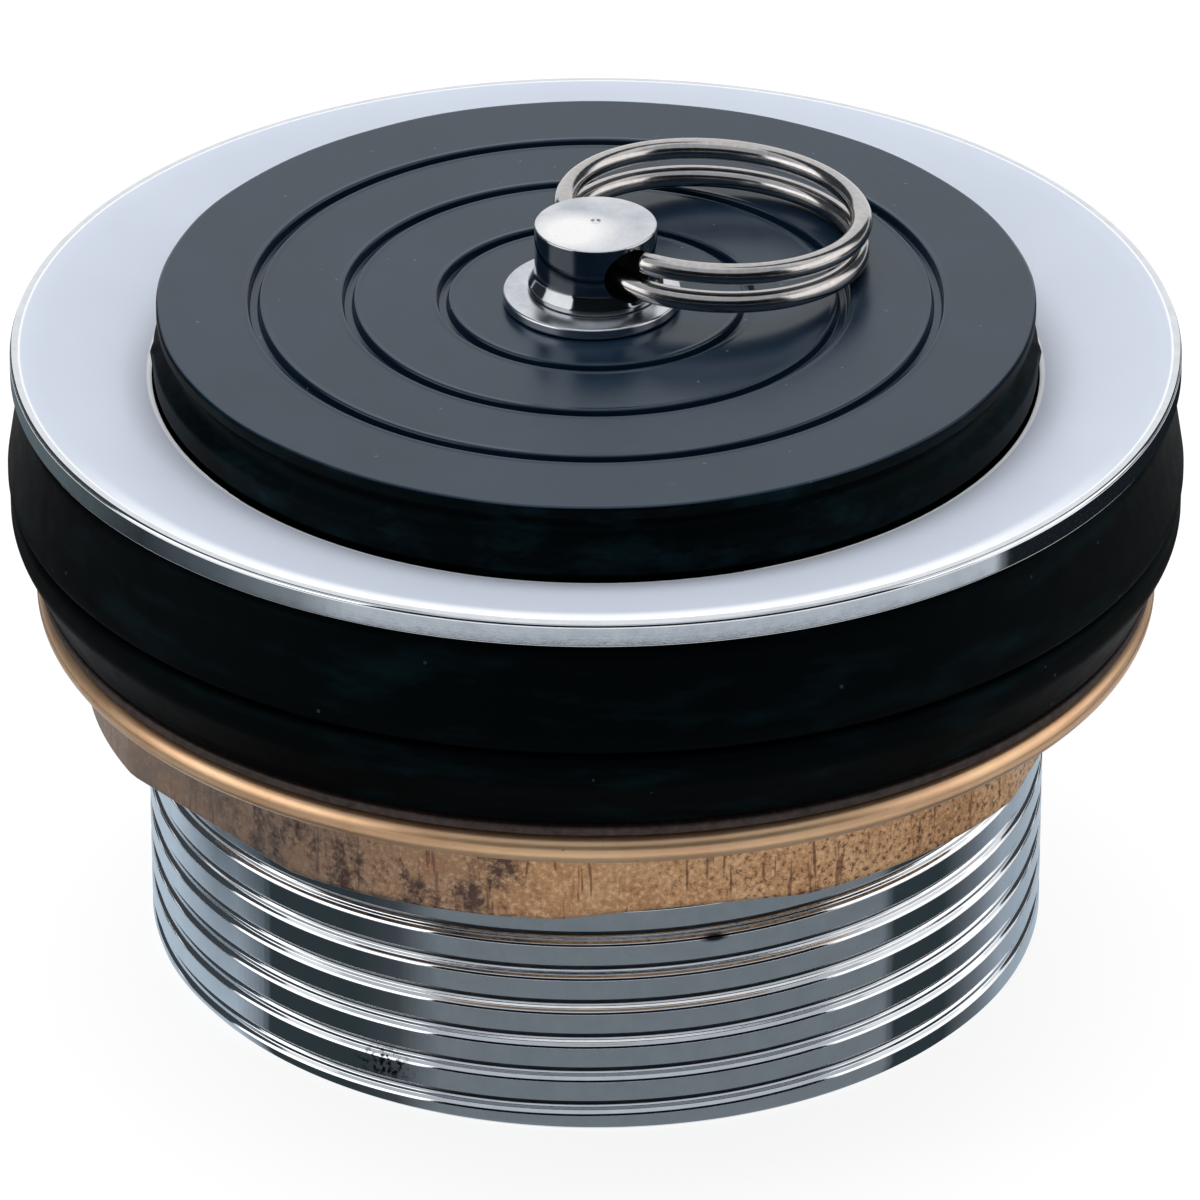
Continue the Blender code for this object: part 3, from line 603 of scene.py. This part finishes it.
def tail_rows(top):
    """Rows of the tail that follow the helix, held between the tail's end and a height."""
    lowest = math.floor(-THREAD_START / THREAD_PITCH) - 2
    highest = math.ceil((top - THREAD_START) / THREAD_PITCH) + 1
    angles = np.arange(FINE_STEPS + 1) * FULL_TURN / FINE_STEPS
    rows = []
    for turn in range(highest, lowest - 1, -1):
        for offset in thread_offsets():
            heights = THREAD_START + THREAD_PITCH * (turn + angles / FULL_TURN) + offset
            heights = np.clip(heights, 0.0, top)
            rows.append(around(tail_radius(angles, heights), angles, heights))
    return rows


def opening_height():
    """Height of the dish's surface where it meets the opening."""
    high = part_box("drain_body")[1]
    dish = high.x - RIM_EDGE_ROUND - ROLL_WIDTH - OPENING_RADIUS
    drop = ROLL_RADIUS * (1.0 - math.cos(DISH_ANGLE))
    return high.z - drop - dish * math.tan(DISH_ANGLE)


def make_drain_body(chrome, satin, root_shade):
    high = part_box("drain_body")[1]
    rim_bottom = high.z - RIM_HEIGHT
    roll_centre = high.x - RIM_EDGE_ROUND
    opening = opening_height()
    lip = high.x - LIP_WIDTH
    neck_top = rim_bottom - (lip - NECK_RADIUS) * math.tan(DISH_ANGLE)
    neck_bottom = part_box("upper_gasket")[0].z + NECK_END_ABOVE_SEAM
    thread_top = THREAD_FRONT_HEIGHT + THREAD_PITCH * (THREAD_LAST_TURN + 0.7)

    outer = [(OPENING_RADIUS - OPENING_ROUND / 3.0, opening - OPENING_ROUND * 0.1, OPENING_ROUND)]
    for piece in range(ROLL_PIECES):
        angle = DISH_ANGLE * (1.0 - piece / ROLL_PIECES)
        outer.append((roll_centre - ROLL_RADIUS * math.sin(angle),
                      high.z - ROLL_RADIUS * (1.0 - math.cos(angle)), 0.0))
    outer += [(high.x, high.z, RIM_EDGE_ROUND), (high.x, rim_bottom, 0.00012),
              (lip, rim_bottom, FINE_EDGE), (NECK_RADIUS, neck_top, 0.0005),
              (NECK_RADIUS, neck_bottom, FINE_EDGE), (THREAD_RADIUS, neck_bottom, FINE_EDGE),
              (THREAD_RADIUS, thread_top, 0.0)]
    seat = (SEAT_BOTTOM_RADIUS, opening - SEAT_DEPTH, SOFT_EDGE)
    inner = [(THREAD_RADIUS, 0.0, 0.0), (BORE_RADIUS, 0.0, 0.0004), (BORE_RADIUS, seat[1], 0.0004),
             seat, (OPENING_RADIUS, opening, 0.0)]
    outer_rows = ring_rows(rounded([seat] + outer, closed=False)[1:], FINE_STEPS)
    inner_rows = ring_rows(rounded(inner, closed=False)[1:-1], FINE_STEPS)
    tail = tail_rows(thread_top)
    inner_rows = [tail[-1][:FINE_STEPS]] + inner_rows + [outer_rows[0]]
    body = solid("drain_body_fine",
                 [skin(outer_rows), skin(tail, joined=False), skin(inner_rows)])
    stands_for(body, "drain", "drain_body", "body_chrome", chrome, satin, root_shade)

    root_top = THREAD_BENDS[0][0] - THREAD_EASING / 2.0
    for face in body.data.polygons:
        x, y, z = face.center
        radius = math.hypot(x, y)
        phase = thread_phase(math.atan2(y, x), z)
        if (OPENING_RADIUS - 0.00005 < radius < roll_centre - 0.0001
                and z > opening - OPENING_ROUND and face.normal.z > 0.35):
            face.material_index = 1
        # Faces at the bottom of the thread's groove take the finish painted dark as shade.
        if (BORE_RADIUS + 0.001 < radius < THREAD_RADIUS - 0.00006 and z > 0.0002
                and -0.00003 < (phase - round(phase)) * THREAD_PITCH < root_top):
            face.material_index = 2


def make_cross(chrome):
    """The cross cast into the bore: two bars that flare into the wall, and a hub."""
    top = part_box("drain_body")[1].z - CROSS_TOP_DEPTH
    low = top - CROSS_BAR_HEIGHT
    reach = BORE_RADIUS + 0.0005
    flare, flare_width, flare_height = 0.0016, 0.0009, 0.0006
    edge = 0.0005
    grids = []
    for index in range(4):
        turn = Matrix.Rotation(CROSS_TURN + index * math.pi / 2.0, 4, "Z")
        sections = []
        for along in np.linspace(0.0, 1.0, 25) * reach:
            swell = float(smooth_step((along - reach + flare) / flare)) ** 2
            wide = CROSS_BAR_WIDTH / 2.0 + flare_width * swell - edge
            upper = top + flare_height * swell - edge
            lower = low - flare_height * swell + edge
            section = []
            for y, z, first in ((wide, upper, 0.0), (-wide, upper, 90.0), (-wide, lower, 180.0),
                                (wide, lower, 270.0)):
                for step in range(4):
                    angle = math.radians(first + 30.0 * step)
                    section.append(turn @ Vector((along, y + edge * math.cos(angle),
                                                  z + edge * math.sin(angle))))
            sections.append(np.array(section))
        grids.append(swept(sections))
    over, under = top + 0.0003, low - 0.0003
    hub = rounded([(0.0, over, 0.0), (CROSS_HUB_RADIUS, over, 0.0006),
                   (CROSS_HUB_RADIUS, under, 0.0006), (0.0, under, 0.0)], closed=False)
    grids.append(skin(ring_rows(hub, 64)))
    cross = solid("drain_cross_fine", grids)
    stands_for(cross, "drain", "drain_body", "body_chrome", chrome)


def make_upper_gasket(rubber):
    low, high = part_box("upper_gasket")
    bore = NECK_RADIUS + CLEARANCE
    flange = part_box("drain_body")[1].x
    lip = flange - LIP_WIDTH
    shoulder = flange - 0.0011
    corners = [(bore, high.z - (lip - bore) * math.tan(DISH_ANGLE), FINE_EDGE),
               (lip, high.z, SOFT_EDGE), (shoulder, high.z, SOFT_EDGE),
               (shoulder + 0.0006, high.z - 0.0006, 0.0009), (high.x, low.z + 0.0010, 0.0010),
               (high.x, low.z, 0.0007), (bore, low.z, SOFT_EDGE)]
    turned("drain", "upper_gasket", "gasket_rubber", rubber, corners, 8)


def make_lower_gasket(rubber):
    low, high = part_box("lower_gasket")
    foot = high.x - 0.0015
    corners = [(TAIL_RING_BORE, high.z, SOFT_EDGE), (high.x, high.z, 0.0008),
               (high.x, high.z - 0.0018, 0.0014), (foot + 0.0002, low.z + 0.0007, 0.0016),
               (foot, low.z, SOFT_EDGE), (TAIL_RING_BORE, low.z, SOFT_EDGE)]
    turned("clamp", "lower_gasket", "gasket_rubber", rubber, corners, 8)


def make_slip_washer(material):
    low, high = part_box("slip_washer")
    corners = [(TAIL_RING_BORE, high.z, 0.0001), (high.x, high.z, 0.00015),
               (high.x, low.z, 0.00015), (TAIL_RING_BORE, low.z, 0.0001)]
    turned("clamp", "slip_washer", "washer_fibre", material, corners)


def hexagon(angles, turn, flat_radius):
    """Radius of a six-sided outline with the middle of a flat at an angle."""
    step = math.pi / 3.0
    return flat_radius / np.cos((angles - turn + step / 2.0) % step - step / 2.0)


def make_lock_nut(body_brass, collar_finish):
    low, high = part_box("lock_nut")
    collar_bottom = high.z - NUT_COLLAR_HEIGHT
    collar_round = 0.00082
    angles = column_angles(FINE_STEPS)
    outline = np.minimum(hexagon(angles, NUT_TURN, NUT_FLAT_RADIUS), NUT_CORNER_RADIUS)

    def body_row(inset, height):
        return around(outline - inset, angles, height) - (NUT_BODY_SHIFT, 0.0, 0.0)

    collar = [(TAIL_RING_BORE, high.z, SOFT_EDGE), (high.x, high.z, collar_round),
              (high.x, collar_bottom, collar_round),
              (NUT_CORNER_RADIUS + 0.0004, collar_bottom, 0.0)]
    rows = ring_rows(rounded(collar, closed=False, pieces=10), FINE_STEPS)
    fillet = 0.00025
    for angle in np.radians(np.linspace(0.0, 90.0, 5)):
        rows.append(body_row(-fillet * (1.0 - math.sin(angle)),
                             collar_bottom - fillet * (1.0 - math.cos(angle))))
    rows.append(body_row(0.0, low.z + 2.0 * SOFT_EDGE))
    for angle in np.radians(np.linspace(0.0, 90.0, 6)):
        rows.append(body_row(SOFT_EDGE * (1.0 - math.cos(angle)),
                             low.z + SOFT_EDGE * (1.0 - math.sin(angle))))
    rows.append(body_row(SOFT_EDGE + 0.0002, low.z))
    lead_in = 0.0004
    rows += ring_rows([(TAIL_RING_BORE + lead_in, low.z), (TAIL_RING_BORE, low.z + lead_in),
                       (TAIL_RING_BORE, high.z - SOFT_EDGE)], FINE_STEPS)
    nut = solid("lock_nut_fine", [skin(rows, True)])
    stands_for(nut, "nut", "lock_nut", "nut_brass", body_brass, collar_finish)
    for face in nut.data.polygons:
        face.material_index = int(face.center.z > collar_bottom - 0.0001)


def make_nut_thread(material):
    """The nut's inner thread: a ridge that runs in the tail's groove with a clearance."""
    low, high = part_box("lock_nut")
    margin = 0.0007
    crest, crest_half = THREAD_RADIUS - NUT_RIDGE_HEIGHT, 0.00004
    wall, wall_half = TAIL_RING_BORE + 0.0002, 0.00030
    radii = np.array([wall, wall, crest, crest])
    offsets = np.array([wall_half, -wall_half, -crest_half, crest_half])
    first = (low.z + margin - THREAD_START) / THREAD_PITCH
    last = (high.z - margin - THREAD_START) / THREAD_PITCH
    sections = [around(radii, FULL_TURN * turn, THREAD_START + THREAD_PITCH * turn + offsets)
                for turn in np.linspace(first, last, int((last - first) * SMALL_STEPS) + 1)]
    ridge = solid("nut_thread_fine", [swept(sections)])
    stands_for(ridge, "nut", "lock_nut", "nut_brass", material)


def plug_edge(top, nub_height):
    """Small unevenness of the moulded edge, and a nub of flash on each side of the plug."""
    def warp(angles, radius, height):
        outer = (smooth_step((radius - PLUG_SIDE_FROM) / 0.0015)
                 * smooth_step((height - top + 0.0012) / 0.0008))
        wave = 0.00003 * np.sin(7.0 * angles + 1.0) + 0.00002 * np.sin(17.0 * angles)
        nubs = 0.0
        for place in np.radians((182.0, -2.0)):
            away = (angles - place + math.pi) % FULL_TURN - math.pi
            nubs += 0.00032 * np.exp(-(away / 0.012) ** 2)
        low_band = (radius > PLUG_SIDE_FROM) * math.exp(-((height - nub_height) / 0.0006) ** 2)
        return radius + outer * wave + low_band * nubs
    return warp


def make_plug(rubber, side):
    low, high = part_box("plug")
    top = high.z + PLUG_TOP_RISE
    opening = opening_height()
    shoulder = OPENING_RADIUS - 0.00015
    upper_edge = OPENING_RADIUS - 0.00035
    waist = OPENING_RADIUS - 0.0013
    edge_bottom = top - 0.0007
    bead_top = opening + 0.0017
    half = GROOVE_WIDTH / 2.0
    floor = half - 0.00010
    ridge = 0.00005
    ridge_out = half + 0.00035
    corners = [(SHANK_HOLE_RADIUS, top, 0.0001)]
    for index in range(GROOVE_COUNT):
        middle = GROOVE_FIRST_RADIUS + index * GROOVE_STEP
        corners += [(middle + offset, top + rise, fillet) for offset, rise, fillet in (
            (-ridge_out, 0.0, 0.00010), (-half, ridge, 0.00014), (-floor, -GROOVE_DEPTH, 0.00010),
            (floor, -GROOVE_DEPTH, 0.00010), (half, ridge, 0.00014), (ridge_out, 0.0, 0.00010))]
    edge = OPENING_RADIUS - OPENING_ROUND
    lean = (edge - SEAT_BOTTOM_RADIUS) / SEAT_DEPTH
    cone_top = opening + CLEARANCE / 2.0
    corners += [(upper_edge, top, FINE_EDGE), (upper_edge, edge_bottom, FINE_EDGE),
                (waist, (edge_bottom + bead_top) / 2.0, 0.0006), (shoulder, bead_top, SOFT_EDGE),
                (shoulder, opening + 0.00028, FINE_EDGE),
                (edge + lean * (cone_top - opening) - CLEARANCE, cone_top, 0.0001),
                (edge + lean * (low.z - opening) - CLEARANCE, low.z, 0.0006),
                (SHANK_HOLE_RADIUS, low.z, FINE_EDGE)]
    rows = ring_rows(rounded(corners, pieces=4), FINE_STEPS, plug_edge(top, opening + 0.0014))
    plug = solid("plug_fine", [skin(rows, True)])
    stands_for(plug, "stopper", "plug", "plug_rubber", rubber, side)
    for face in plug.data.polygons:
        x, y, z = face.center
        face.material_index = int(z < top - 0.00008 and math.hypot(x, y) > PLUG_SIDE_FROM)


def make_washer(node, hole, edge, slot, material):
    low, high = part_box(node)
    centre = (low + high) / 2.0
    radius = (high.x - low.x) / 2.0
    corners = [(hole, high.z, edge), (radius, high.z, edge), (radius, low.z, edge),
               (hole, low.z, edge)]
    turned("stopper", node, slot, material, corners, 5, SMALL_STEPS, centre[:2])


def make_stem_nut(material):
    low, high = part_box("stem_nut")
    angles = column_angles(SMALL_STEPS)
    widths = high.x - low.x, high.y - low.y
    outline = hexagon(angles, 0.0 if high.x < high.y else math.pi / 6.0, min(widths) / 2.0)
    corner = max(widths) / 2.0
    chamfer = 0.0004
    levels = ((2.0, high.z), (1.0, high.z - 0.4 * chamfer), (0.0, high.z - chamfer),
              (0.0, low.z + chamfer), (1.0, low.z + 0.4 * chamfer), (2.0, low.z))
    rows = [around(np.minimum(outline, corner - inset * chamfer), angles, height)
            for inset, height in levels]
    rows += ring_rows([(SHANK_HOLE_RADIUS, low.z), (SHANK_HOLE_RADIUS, high.z)], SMALL_STEPS)
    nut = solid("stem_nut_fine", [skin(rows, True)])
    stands_for(nut, "knob", "stem_nut", "plain_steel", material)


def ring_joint():
    """Axis and centre of the split ring's hinge."""
    joint = next(joint for joint in frame["joints"] if joint["name"] == "ring_swing")
    return Vector(joint["axis"]).normalized(), Vector(joint["pos_m"])


def ring_frame():
    """Frame on the ring's hinge axis: X along the hole, Y towards the ring's far side."""
    axis, centre = ring_joint()
    half_stack = RING_SPACING + RING_WIRE_RADIUS
    drop = centre.z - half_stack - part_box("plug")[1].z - CLEARANCE
    slope = math.asin(drop / (ring_offset() + RING_MEAN_RADIUS))
    turn = Matrix((axis, UP.cross(axis), UP)).transposed().to_4x4()
    return Matrix.Translation(centre) @ turn @ Matrix.Rotation(-slope, 4, "X")


def post_radius():
    low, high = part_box("knob_post")
    return (high.x - low.x) / 2.0 - 0.0003


def ring_offset():
    sag = RING_MEAN_RADIUS - math.sqrt(RING_MEAN_RADIUS ** 2 - post_radius() ** 2)
    return RING_MEAN_RADIUS - sag / 2.0


def make_split_ring(steel):
    """Two turns of round wire that cross over inside the post, their cut ends chamfered."""
    place = ring_frame()
    offset = ring_offset()
    first = math.asin((post_radius() + RING_END_CLEARANCE) / RING_MEAN_RADIUS)
    pieces = 240
    corners = -column_angles(28)

    def centre_line(angle):
        crossing = max(-1.0, min(1.0, (angle - FULL_TURN) / RING_CROSSING_ANGLE))
        level = -math.sin(math.pi / 2.0 * crossing)
        return Vector((RING_MEAN_RADIUS * math.sin(angle),
                       offset - RING_MEAN_RADIUS * math.cos(angle), RING_SPACING * level))

    sections = []
    for angle in np.linspace(first, 2.0 * FULL_TURN - first, pieces + 1):
        ahead = (centre_line(angle + 0.001) - centre_line(angle - 0.001)).normalized()
        side = ahead.cross(UP).normalized()
        up = side.cross(ahead)
        here = centre_line(angle)
        sections.append(np.array([
            place @ (here + RING_WIRE_RADIUS * (math.cos(turn) * side + math.sin(turn) * up))
            for turn in corners]))
    chamfer, end_share = 0.00012, 0.82
    for end, inward in ((0, 1), (-1, -2)):
        middle = sections[end].mean(axis=0)
        bevel = middle + (sections[end] - middle) * end_share
        step_in = sections[inward].mean(axis=0) - middle
        sections[end] = sections[end] + step_in / np.linalg.norm(step_in) * chamfer
        sections.insert(0 if end == 0 else len(sections), bevel)
    ring = solid("split_ring_fine", [swept(sections)], 50.0)
    stands_for(ring, "ring", "split_ring", "ring_steel", steel)


def make_knob_post(side, top, hole_wall):
    """Post with a domed top, a centre mark, a flared foot and a cross hole, on its shank."""
    low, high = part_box("knob_post")
    radius = post_radius()
    foot = radius + 0.0004
    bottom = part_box("top_washer")[1].z + 0.00004
    edge_top = high.z - 0.0002
    mark = ((0.0, 0.00013), (0.00010, 0.00012), (0.00024, 0.00007), (0.00032, 0.00002),
            (0.00039, 0.0), (0.00048, 0.00002))
    corners = [(r, high.z - depth, 0.0) for r, depth in mark]
    for r in np.linspace(0.0006, radius - 0.0002, 11):
        corners.append((r, edge_top + (high.z - edge_top) * (1.0 - (r / radius) ** 2), 0.0))
    corners += [(radius, edge_top - 0.00001, 0.00014), (radius, bottom + 0.0010, 0.0006),
                (foot, bottom + 0.0003, SOFT_EDGE), (foot, bottom, 0.00006),
                (SHANK_RADIUS, bottom, 0.0001), (SHANK_RADIUS, low.z, 0.0004), (0.0, low.z, 0.0)]
    rows = ring_rows(rounded(corners, closed=False), SMALL_STEPS)
    post = solid("knob_post_fine", [skin(rows)])
    place = ring_frame()
    bpy.ops.mesh.primitive_cylinder_add(vertices=64, radius=POST_HOLE_RADIUS, depth=4.0 * radius)
    drill = bpy.context.active_object
    drill.matrix_world = place @ Matrix.Rotation(math.radians(90.0), 4, "Y")
    cut = post.modifiers.new("Hole", "BOOLEAN")
    cut.object = drill
    cut.operation = "DIFFERENCE"
    bpy.context.view_layer.update()
    graph = bpy.context.evaluated_depsgraph_get()
    drilled = bpy.data.meshes.new_from_object(post.evaluated_get(graph))
    post.modifiers.clear()
    post.data = drilled
    bpy.data.objects.remove(drill, do_unlink=True)
    drilled.shade_smooth()
    drilled.set_sharp_from_angle(angle=math.radians(35.0))
    stands_for(post, "knob", "knob_post", "knob_chrome", side, top, hole_wall)
    # The top's faces take the top finish, and the hole's wall the finish painted dark as shade.
    across = ring_joint()[0]
    for face in drilled.polygons:
        from_hole = (face.center - place.translation).cross(across).length
        if face.center.z > edge_top - 0.00005:
            face.material_index = 1
        elif from_hole < POST_HOLE_RADIUS + 0.00005 and abs(face.normal.dot(across)) < 0.3:
            face.material_index = 2


def emptied(block):
    """Node tree of a material or a world, with no nodes."""
    block.use_nodes = True
    block.node_tree.nodes.clear()
    return block.node_tree


def shader(tree, kind, colour, strength=None):
    """Output of a new shader node of a colour."""
    node = tree.nodes.new("ShaderNode" + kind)
    node.inputs["Color"].default_value = (*colour, 1.0)
    if strength is not None:
        node.inputs["Strength"].default_value = strength
    return node.outputs[0]


def seen_mix(tree, output, lit, plain, share=1.0):
    """Shows a lit shader to the light, and a plain one where camera, glossy or clear rays look."""
    path = tree.nodes.new("ShaderNodeLightPath")
    seen = path.outputs["Is Camera Ray"]
    for ray in ("Is Glossy Ray", "Is Transmission Ray"):
        either = math_node(tree, "ADD", seen, path.outputs[ray])
        either.use_clamp = True
        seen = either.outputs[0]
    if share < 1.0:
        seen = math_node(tree, "MULTIPLY", seen, share).outputs[0]
    mix = tree.nodes.new("ShaderNodeMixShader")
    for socket, source in zip(mix.inputs, (seen, lit, plain)):
        tree.links.new(source, socket)
    end = tree.nodes.new("ShaderNodeOutput" + output)
    tree.links.new(mix.outputs[0], end.inputs["Surface"])


def make_floor():
    bpy.ops.mesh.primitive_plane_add(size=6.0)
    floor = bpy.context.active_object
    floor.name = "floor"
    floor.location.z = -0.00002
    material = bpy.data.materials.new("floor_white")
    tree = emptied(material)
    seen_mix(tree, "Material", shader(tree, "BsdfDiffuse", (0.95, 0.95, 0.95)),
             shader(tree, "Emission", WHITE, 1.08), 0.80)
    floor.data.materials.append(material)


def make_card(name, points, faces, colour=WHITE):
    """A card that only reflections show, as a studio's flags and boards do."""
    mesh = bpy.data.meshes.new(name)
    mesh.from_pydata(points, [], faces)
    card = link(bpy.data.objects.new(name, mesh))
    material = bpy.data.materials.new(name)
    tree = emptied(material)
    glow = shader(tree, "Emission", colour)
    end = tree.nodes.new("ShaderNodeOutputMaterial")
    tree.links.new(glow, end.inputs["Surface"])
    mesh.materials.append(material)
    card.visible_camera = False
    card.visible_diffuse = False
    card.visible_shadow = False
    card.visible_transmission = False
    return card


def pair_faces(count):
    """Faces between pairs of points that follow each other."""
    return [(2 * pair, 2 * pair + 1, 2 * pair + 3, 2 * pair + 2) for pair in range(count)]


def floor_strip(name, radius, lowest, highest, tones, high_tones=None):
    """A board on the floor that a wall of that radius mirrors between two of its heights.

    Tones go by the place round the wall, in degrees from its front, and blend between places
    and between the wall's lower and upper end.
    """
    run = 1.0 / math.tan(CAMERA_ELEVATION)
    points = []
    colours = []
    for degrees in range(-90, 91):
        angle = math.radians(degrees)
        foot = Vector((math.sin(angle), -math.cos(angle), 0.0)) * radius
        way = Vector((math.sin(2.0 * angle), -math.cos(2.0 * angle), 0.0))
        for height, row in ((lowest, tones), (highest, high_tones or tones)):
            places, shades = zip(*row)
            points.append(foot + way * (height * run) + UP * 0.0002)
            colours.append([np.interp(degrees, places, channel) for channel in zip(*shades)])
    card = make_card(name, points, pair_faces(180))
    tone = card.data.color_attributes.new("tone", "FLOAT_COLOR", "POINT")
    for point, shade in zip(tone.data, colours):
        point.color = (*shade, 1.0)
    tree = card.data.materials[0].node_tree
    attribute = tree.nodes.new("ShaderNodeAttribute")
    attribute.attribute_name = "tone"
    glow = next(node for node in tree.nodes if node.type == "EMISSION")
    tree.links.new(attribute.outputs["Color"], glow.inputs["Color"])


def floor_sector(name, from_side, to_side, near, far, colour):
    """A card flat on the floor, between angles from the front and two distances."""
    pieces = 24
    points = [(reach * math.sin(side), -reach * math.cos(side), 0.0003)
              for side in np.radians(np.linspace(from_side, to_side, pieces + 1))
              for reach in (near, far)]
    make_card(name, points, pair_faces(pieces), colour)


def sky_card(name, from_side, to_side, from_height, to_height, colour):
    """A curved card round the object, between angles from the front and above the horizon."""
    reach = 0.9
    pieces = 12
    points = [(reach * math.cos(up) * math.sin(side), -reach * math.cos(up) * math.cos(side),
               reach * math.sin(up))
              for up in np.radians(np.linspace(from_height, to_height, pieces + 1))
              for side in np.radians(np.linspace(from_side, to_side, pieces + 1))]
    faces = []
    for row in range(1, pieces + 1):
        for here in range(row * (pieces + 1) + 1, (row + 1) * (pieces + 1)):
            below = here - pieces - 1
            faces.append((below - 1, below, here, here - 1))
    make_card(name, points, faces, colour)


def make_light(name, size, location, power):
    """A soft box aimed at the object, which reflections don't show."""
    data = bpy.data.lights.new(name, "AREA")
    data.shape = "RECTANGLE"
    data.size, data.size_y = size
    data.energy = power
    light = link(bpy.data.objects.new(name, data))
    light.location = location
    light.rotation_euler = (LIGHT_AIM - Vector(location)).to_track_quat("-Z", "Y").to_euler()
    light.visible_glossy = False


def make_world():
    world = bpy.data.worlds.new("studio")
    bpy.context.scene.world = world
    tree = emptied(world)
    seen_mix(tree, "World", shader(tree, "Background", (0.86, 0.92, 1.0), 0.40),
             shader(tree, "Background", WHITE, 1.0))


def make_camera():
    data = bpy.data.cameras.new("camera")
    data.lens = CAMERA_LENS
    data.sensor_width = 36.0
    data.clip_end = 20.0
    camera = link(bpy.data.objects.new("camera", data))
    back = Vector((0.0, -math.cos(CAMERA_ELEVATION), math.sin(CAMERA_ELEVATION)))
    camera.location = CAMERA_AIM + back * CAMERA_DISTANCE
    camera.rotation_euler = (math.radians(90.0) - CAMERA_ELEVATION, 0.0, 0.0)
    bpy.context.scene.camera = camera


def make_studio():
    make_floor()
    make_world()
    make_light("key_softbox", (1.2, 0.8), (-0.05, 0.22, 0.96), 10.5)
    make_light("front_softbox", (0.8, 0.4), (-0.35, -0.80, 0.35), 0.3)
    grey = (0.196, 0.222, 0.240)
    mid_grey = (0.25, 0.29, 0.33)
    low_grey = (0.05, 0.06, 0.07)
    black = (0.010, 0.014, 0.017)
    dark = (0.032, 0.046, 0.052)
    blue = (0.52, 0.61, 0.69)
    tan = (1.00, 0.96, 0.92)
    rim = (0.58, 0.62, 0.66)
    wall = [(-32, dark), (-26, (0.06, 0.07, 0.08)), (-20, grey), (39.5, grey), (40.5, dark),
            (50, dark), (57, (0.16, 0.18, 0.20)), (64, (0.36, 0.42, 0.48)), (90, blue)]
    floor_strip("thread_board", THREAD_RADIUS, -0.0005, 0.0164,
                [(-90, blue), (-53, blue), (-48, mid_grey), (-46, dark)] + wall,
                [(-90, blue), (-69, blue), (-62, mid_grey), (-57, dark)] + wall)
    floor_strip("brass_board", 0.0310, 0.0156, 0.0250,
                [(-90, (0.60, 0.58, 0.56)), (-60, (0.42, 0.42, 0.42)), (-40, (0.32, 0.33, 0.34)),
                 (-30, (0.46, 0.46, 0.46)), (-12, tan), (24, tan), (40, (0.66, 0.64, 0.62)),
                 (90, (0.66, 0.64, 0.62))])
    floor_strip("gasket_board", 0.0345, 0.0242, 0.0364, [(-90, black), (90, black)])
    floor_strip("rim_board", 0.0345, 0.0364, 0.0440,
                [(-90, (0.14, 0.17, 0.19)), (-66, (0.11, 0.14, 0.15)), (-50, (0.035, 0.045, 0.05)),
                 (-40, (0.10, 0.12, 0.14)), (-30, (0.25, 0.28, 0.30)), (-24, rim), (42, rim),
                 (43.5, black), (90, black)])
    floor_sector("front_floor_card", -60.0, 70.0, 0.22, 0.92, (0.02, 0.025, 0.03))
    floor_sector("left_floor_card", -150.0, -94.0, 0.125, 0.92, low_grey)
    floor_sector("right_floor_card", 98.0, 150.0, 0.125, 0.92, low_grey)
    sky_card("front_dark_card", -42.0, 58.0, 0.5, 38.0, (0.008, 0.010, 0.012))
    sky_card("front_upper_card", -85.0, 85.0, 38.5, 74.0, (0.56, 0.59, 0.63))
    sky_card("left_bright_card", -96.0, -43.0, 6.0, 36.0, (2.0, 1.95, 1.9))
    sky_card("left_dark_card", -150.0, -98.0, 2.0, 75.0, low_grey)
    sky_card("right_dark_card", 122.0, 150.0, 5.0, 75.0, low_grey)
    sky_card("right_bright_card", 60.0, 116.0, 6.0, 34.0, (1.6, 1.55, 1.5))


def main():
    make_camera()
    chrome = polished_chrome()
    brass = nut_brass()
    steel = plain_steel()
    rubber = gasket_rubber()
    washer_chrome = knob_chrome("washer_chrome", 0.20, 0.30)
    # The post's side is the same chrome with its plating painted darker, as shade.
    post_side = knob_chrome("post_side_shaded_chrome", 0.05, 0.10,
                            ((0.26, 0.29, 0.31), (0.38, 0.40, 0.42)))
    # The post's top carries a painted highlight towards its front left.
    post_top = knob_chrome("post_top_chrome", 0.22, 0.32,
                           highlight_at=(-0.0014, -0.0012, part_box("knob_post")[1].z))
    make_drain_body(chrome, satin_chrome(), thread_root_shade())
    make_cross(chrome)
    make_upper_gasket(rubber)
    make_lower_gasket(rubber)
    make_slip_washer(fibre())
    make_lock_nut(brass, collar_brass())
    make_nut_thread(brass)
    make_plug(plug_rubber(), plug_side_rubber())
    make_washer("top_washer", 0.00275, 0.00014, "knob_chrome", washer_chrome)
    make_washer("bottom_washer", SHANK_HOLE_RADIUS, FINE_EDGE, "plain_steel", steel)
    make_stem_nut(steel)
    make_knob_post(post_side, post_top, hole_shade_metal())
    make_split_ring(drawn_steel())
    make_studio()
    bpy.context.scene.view_settings.view_transform = "Standard"


main()
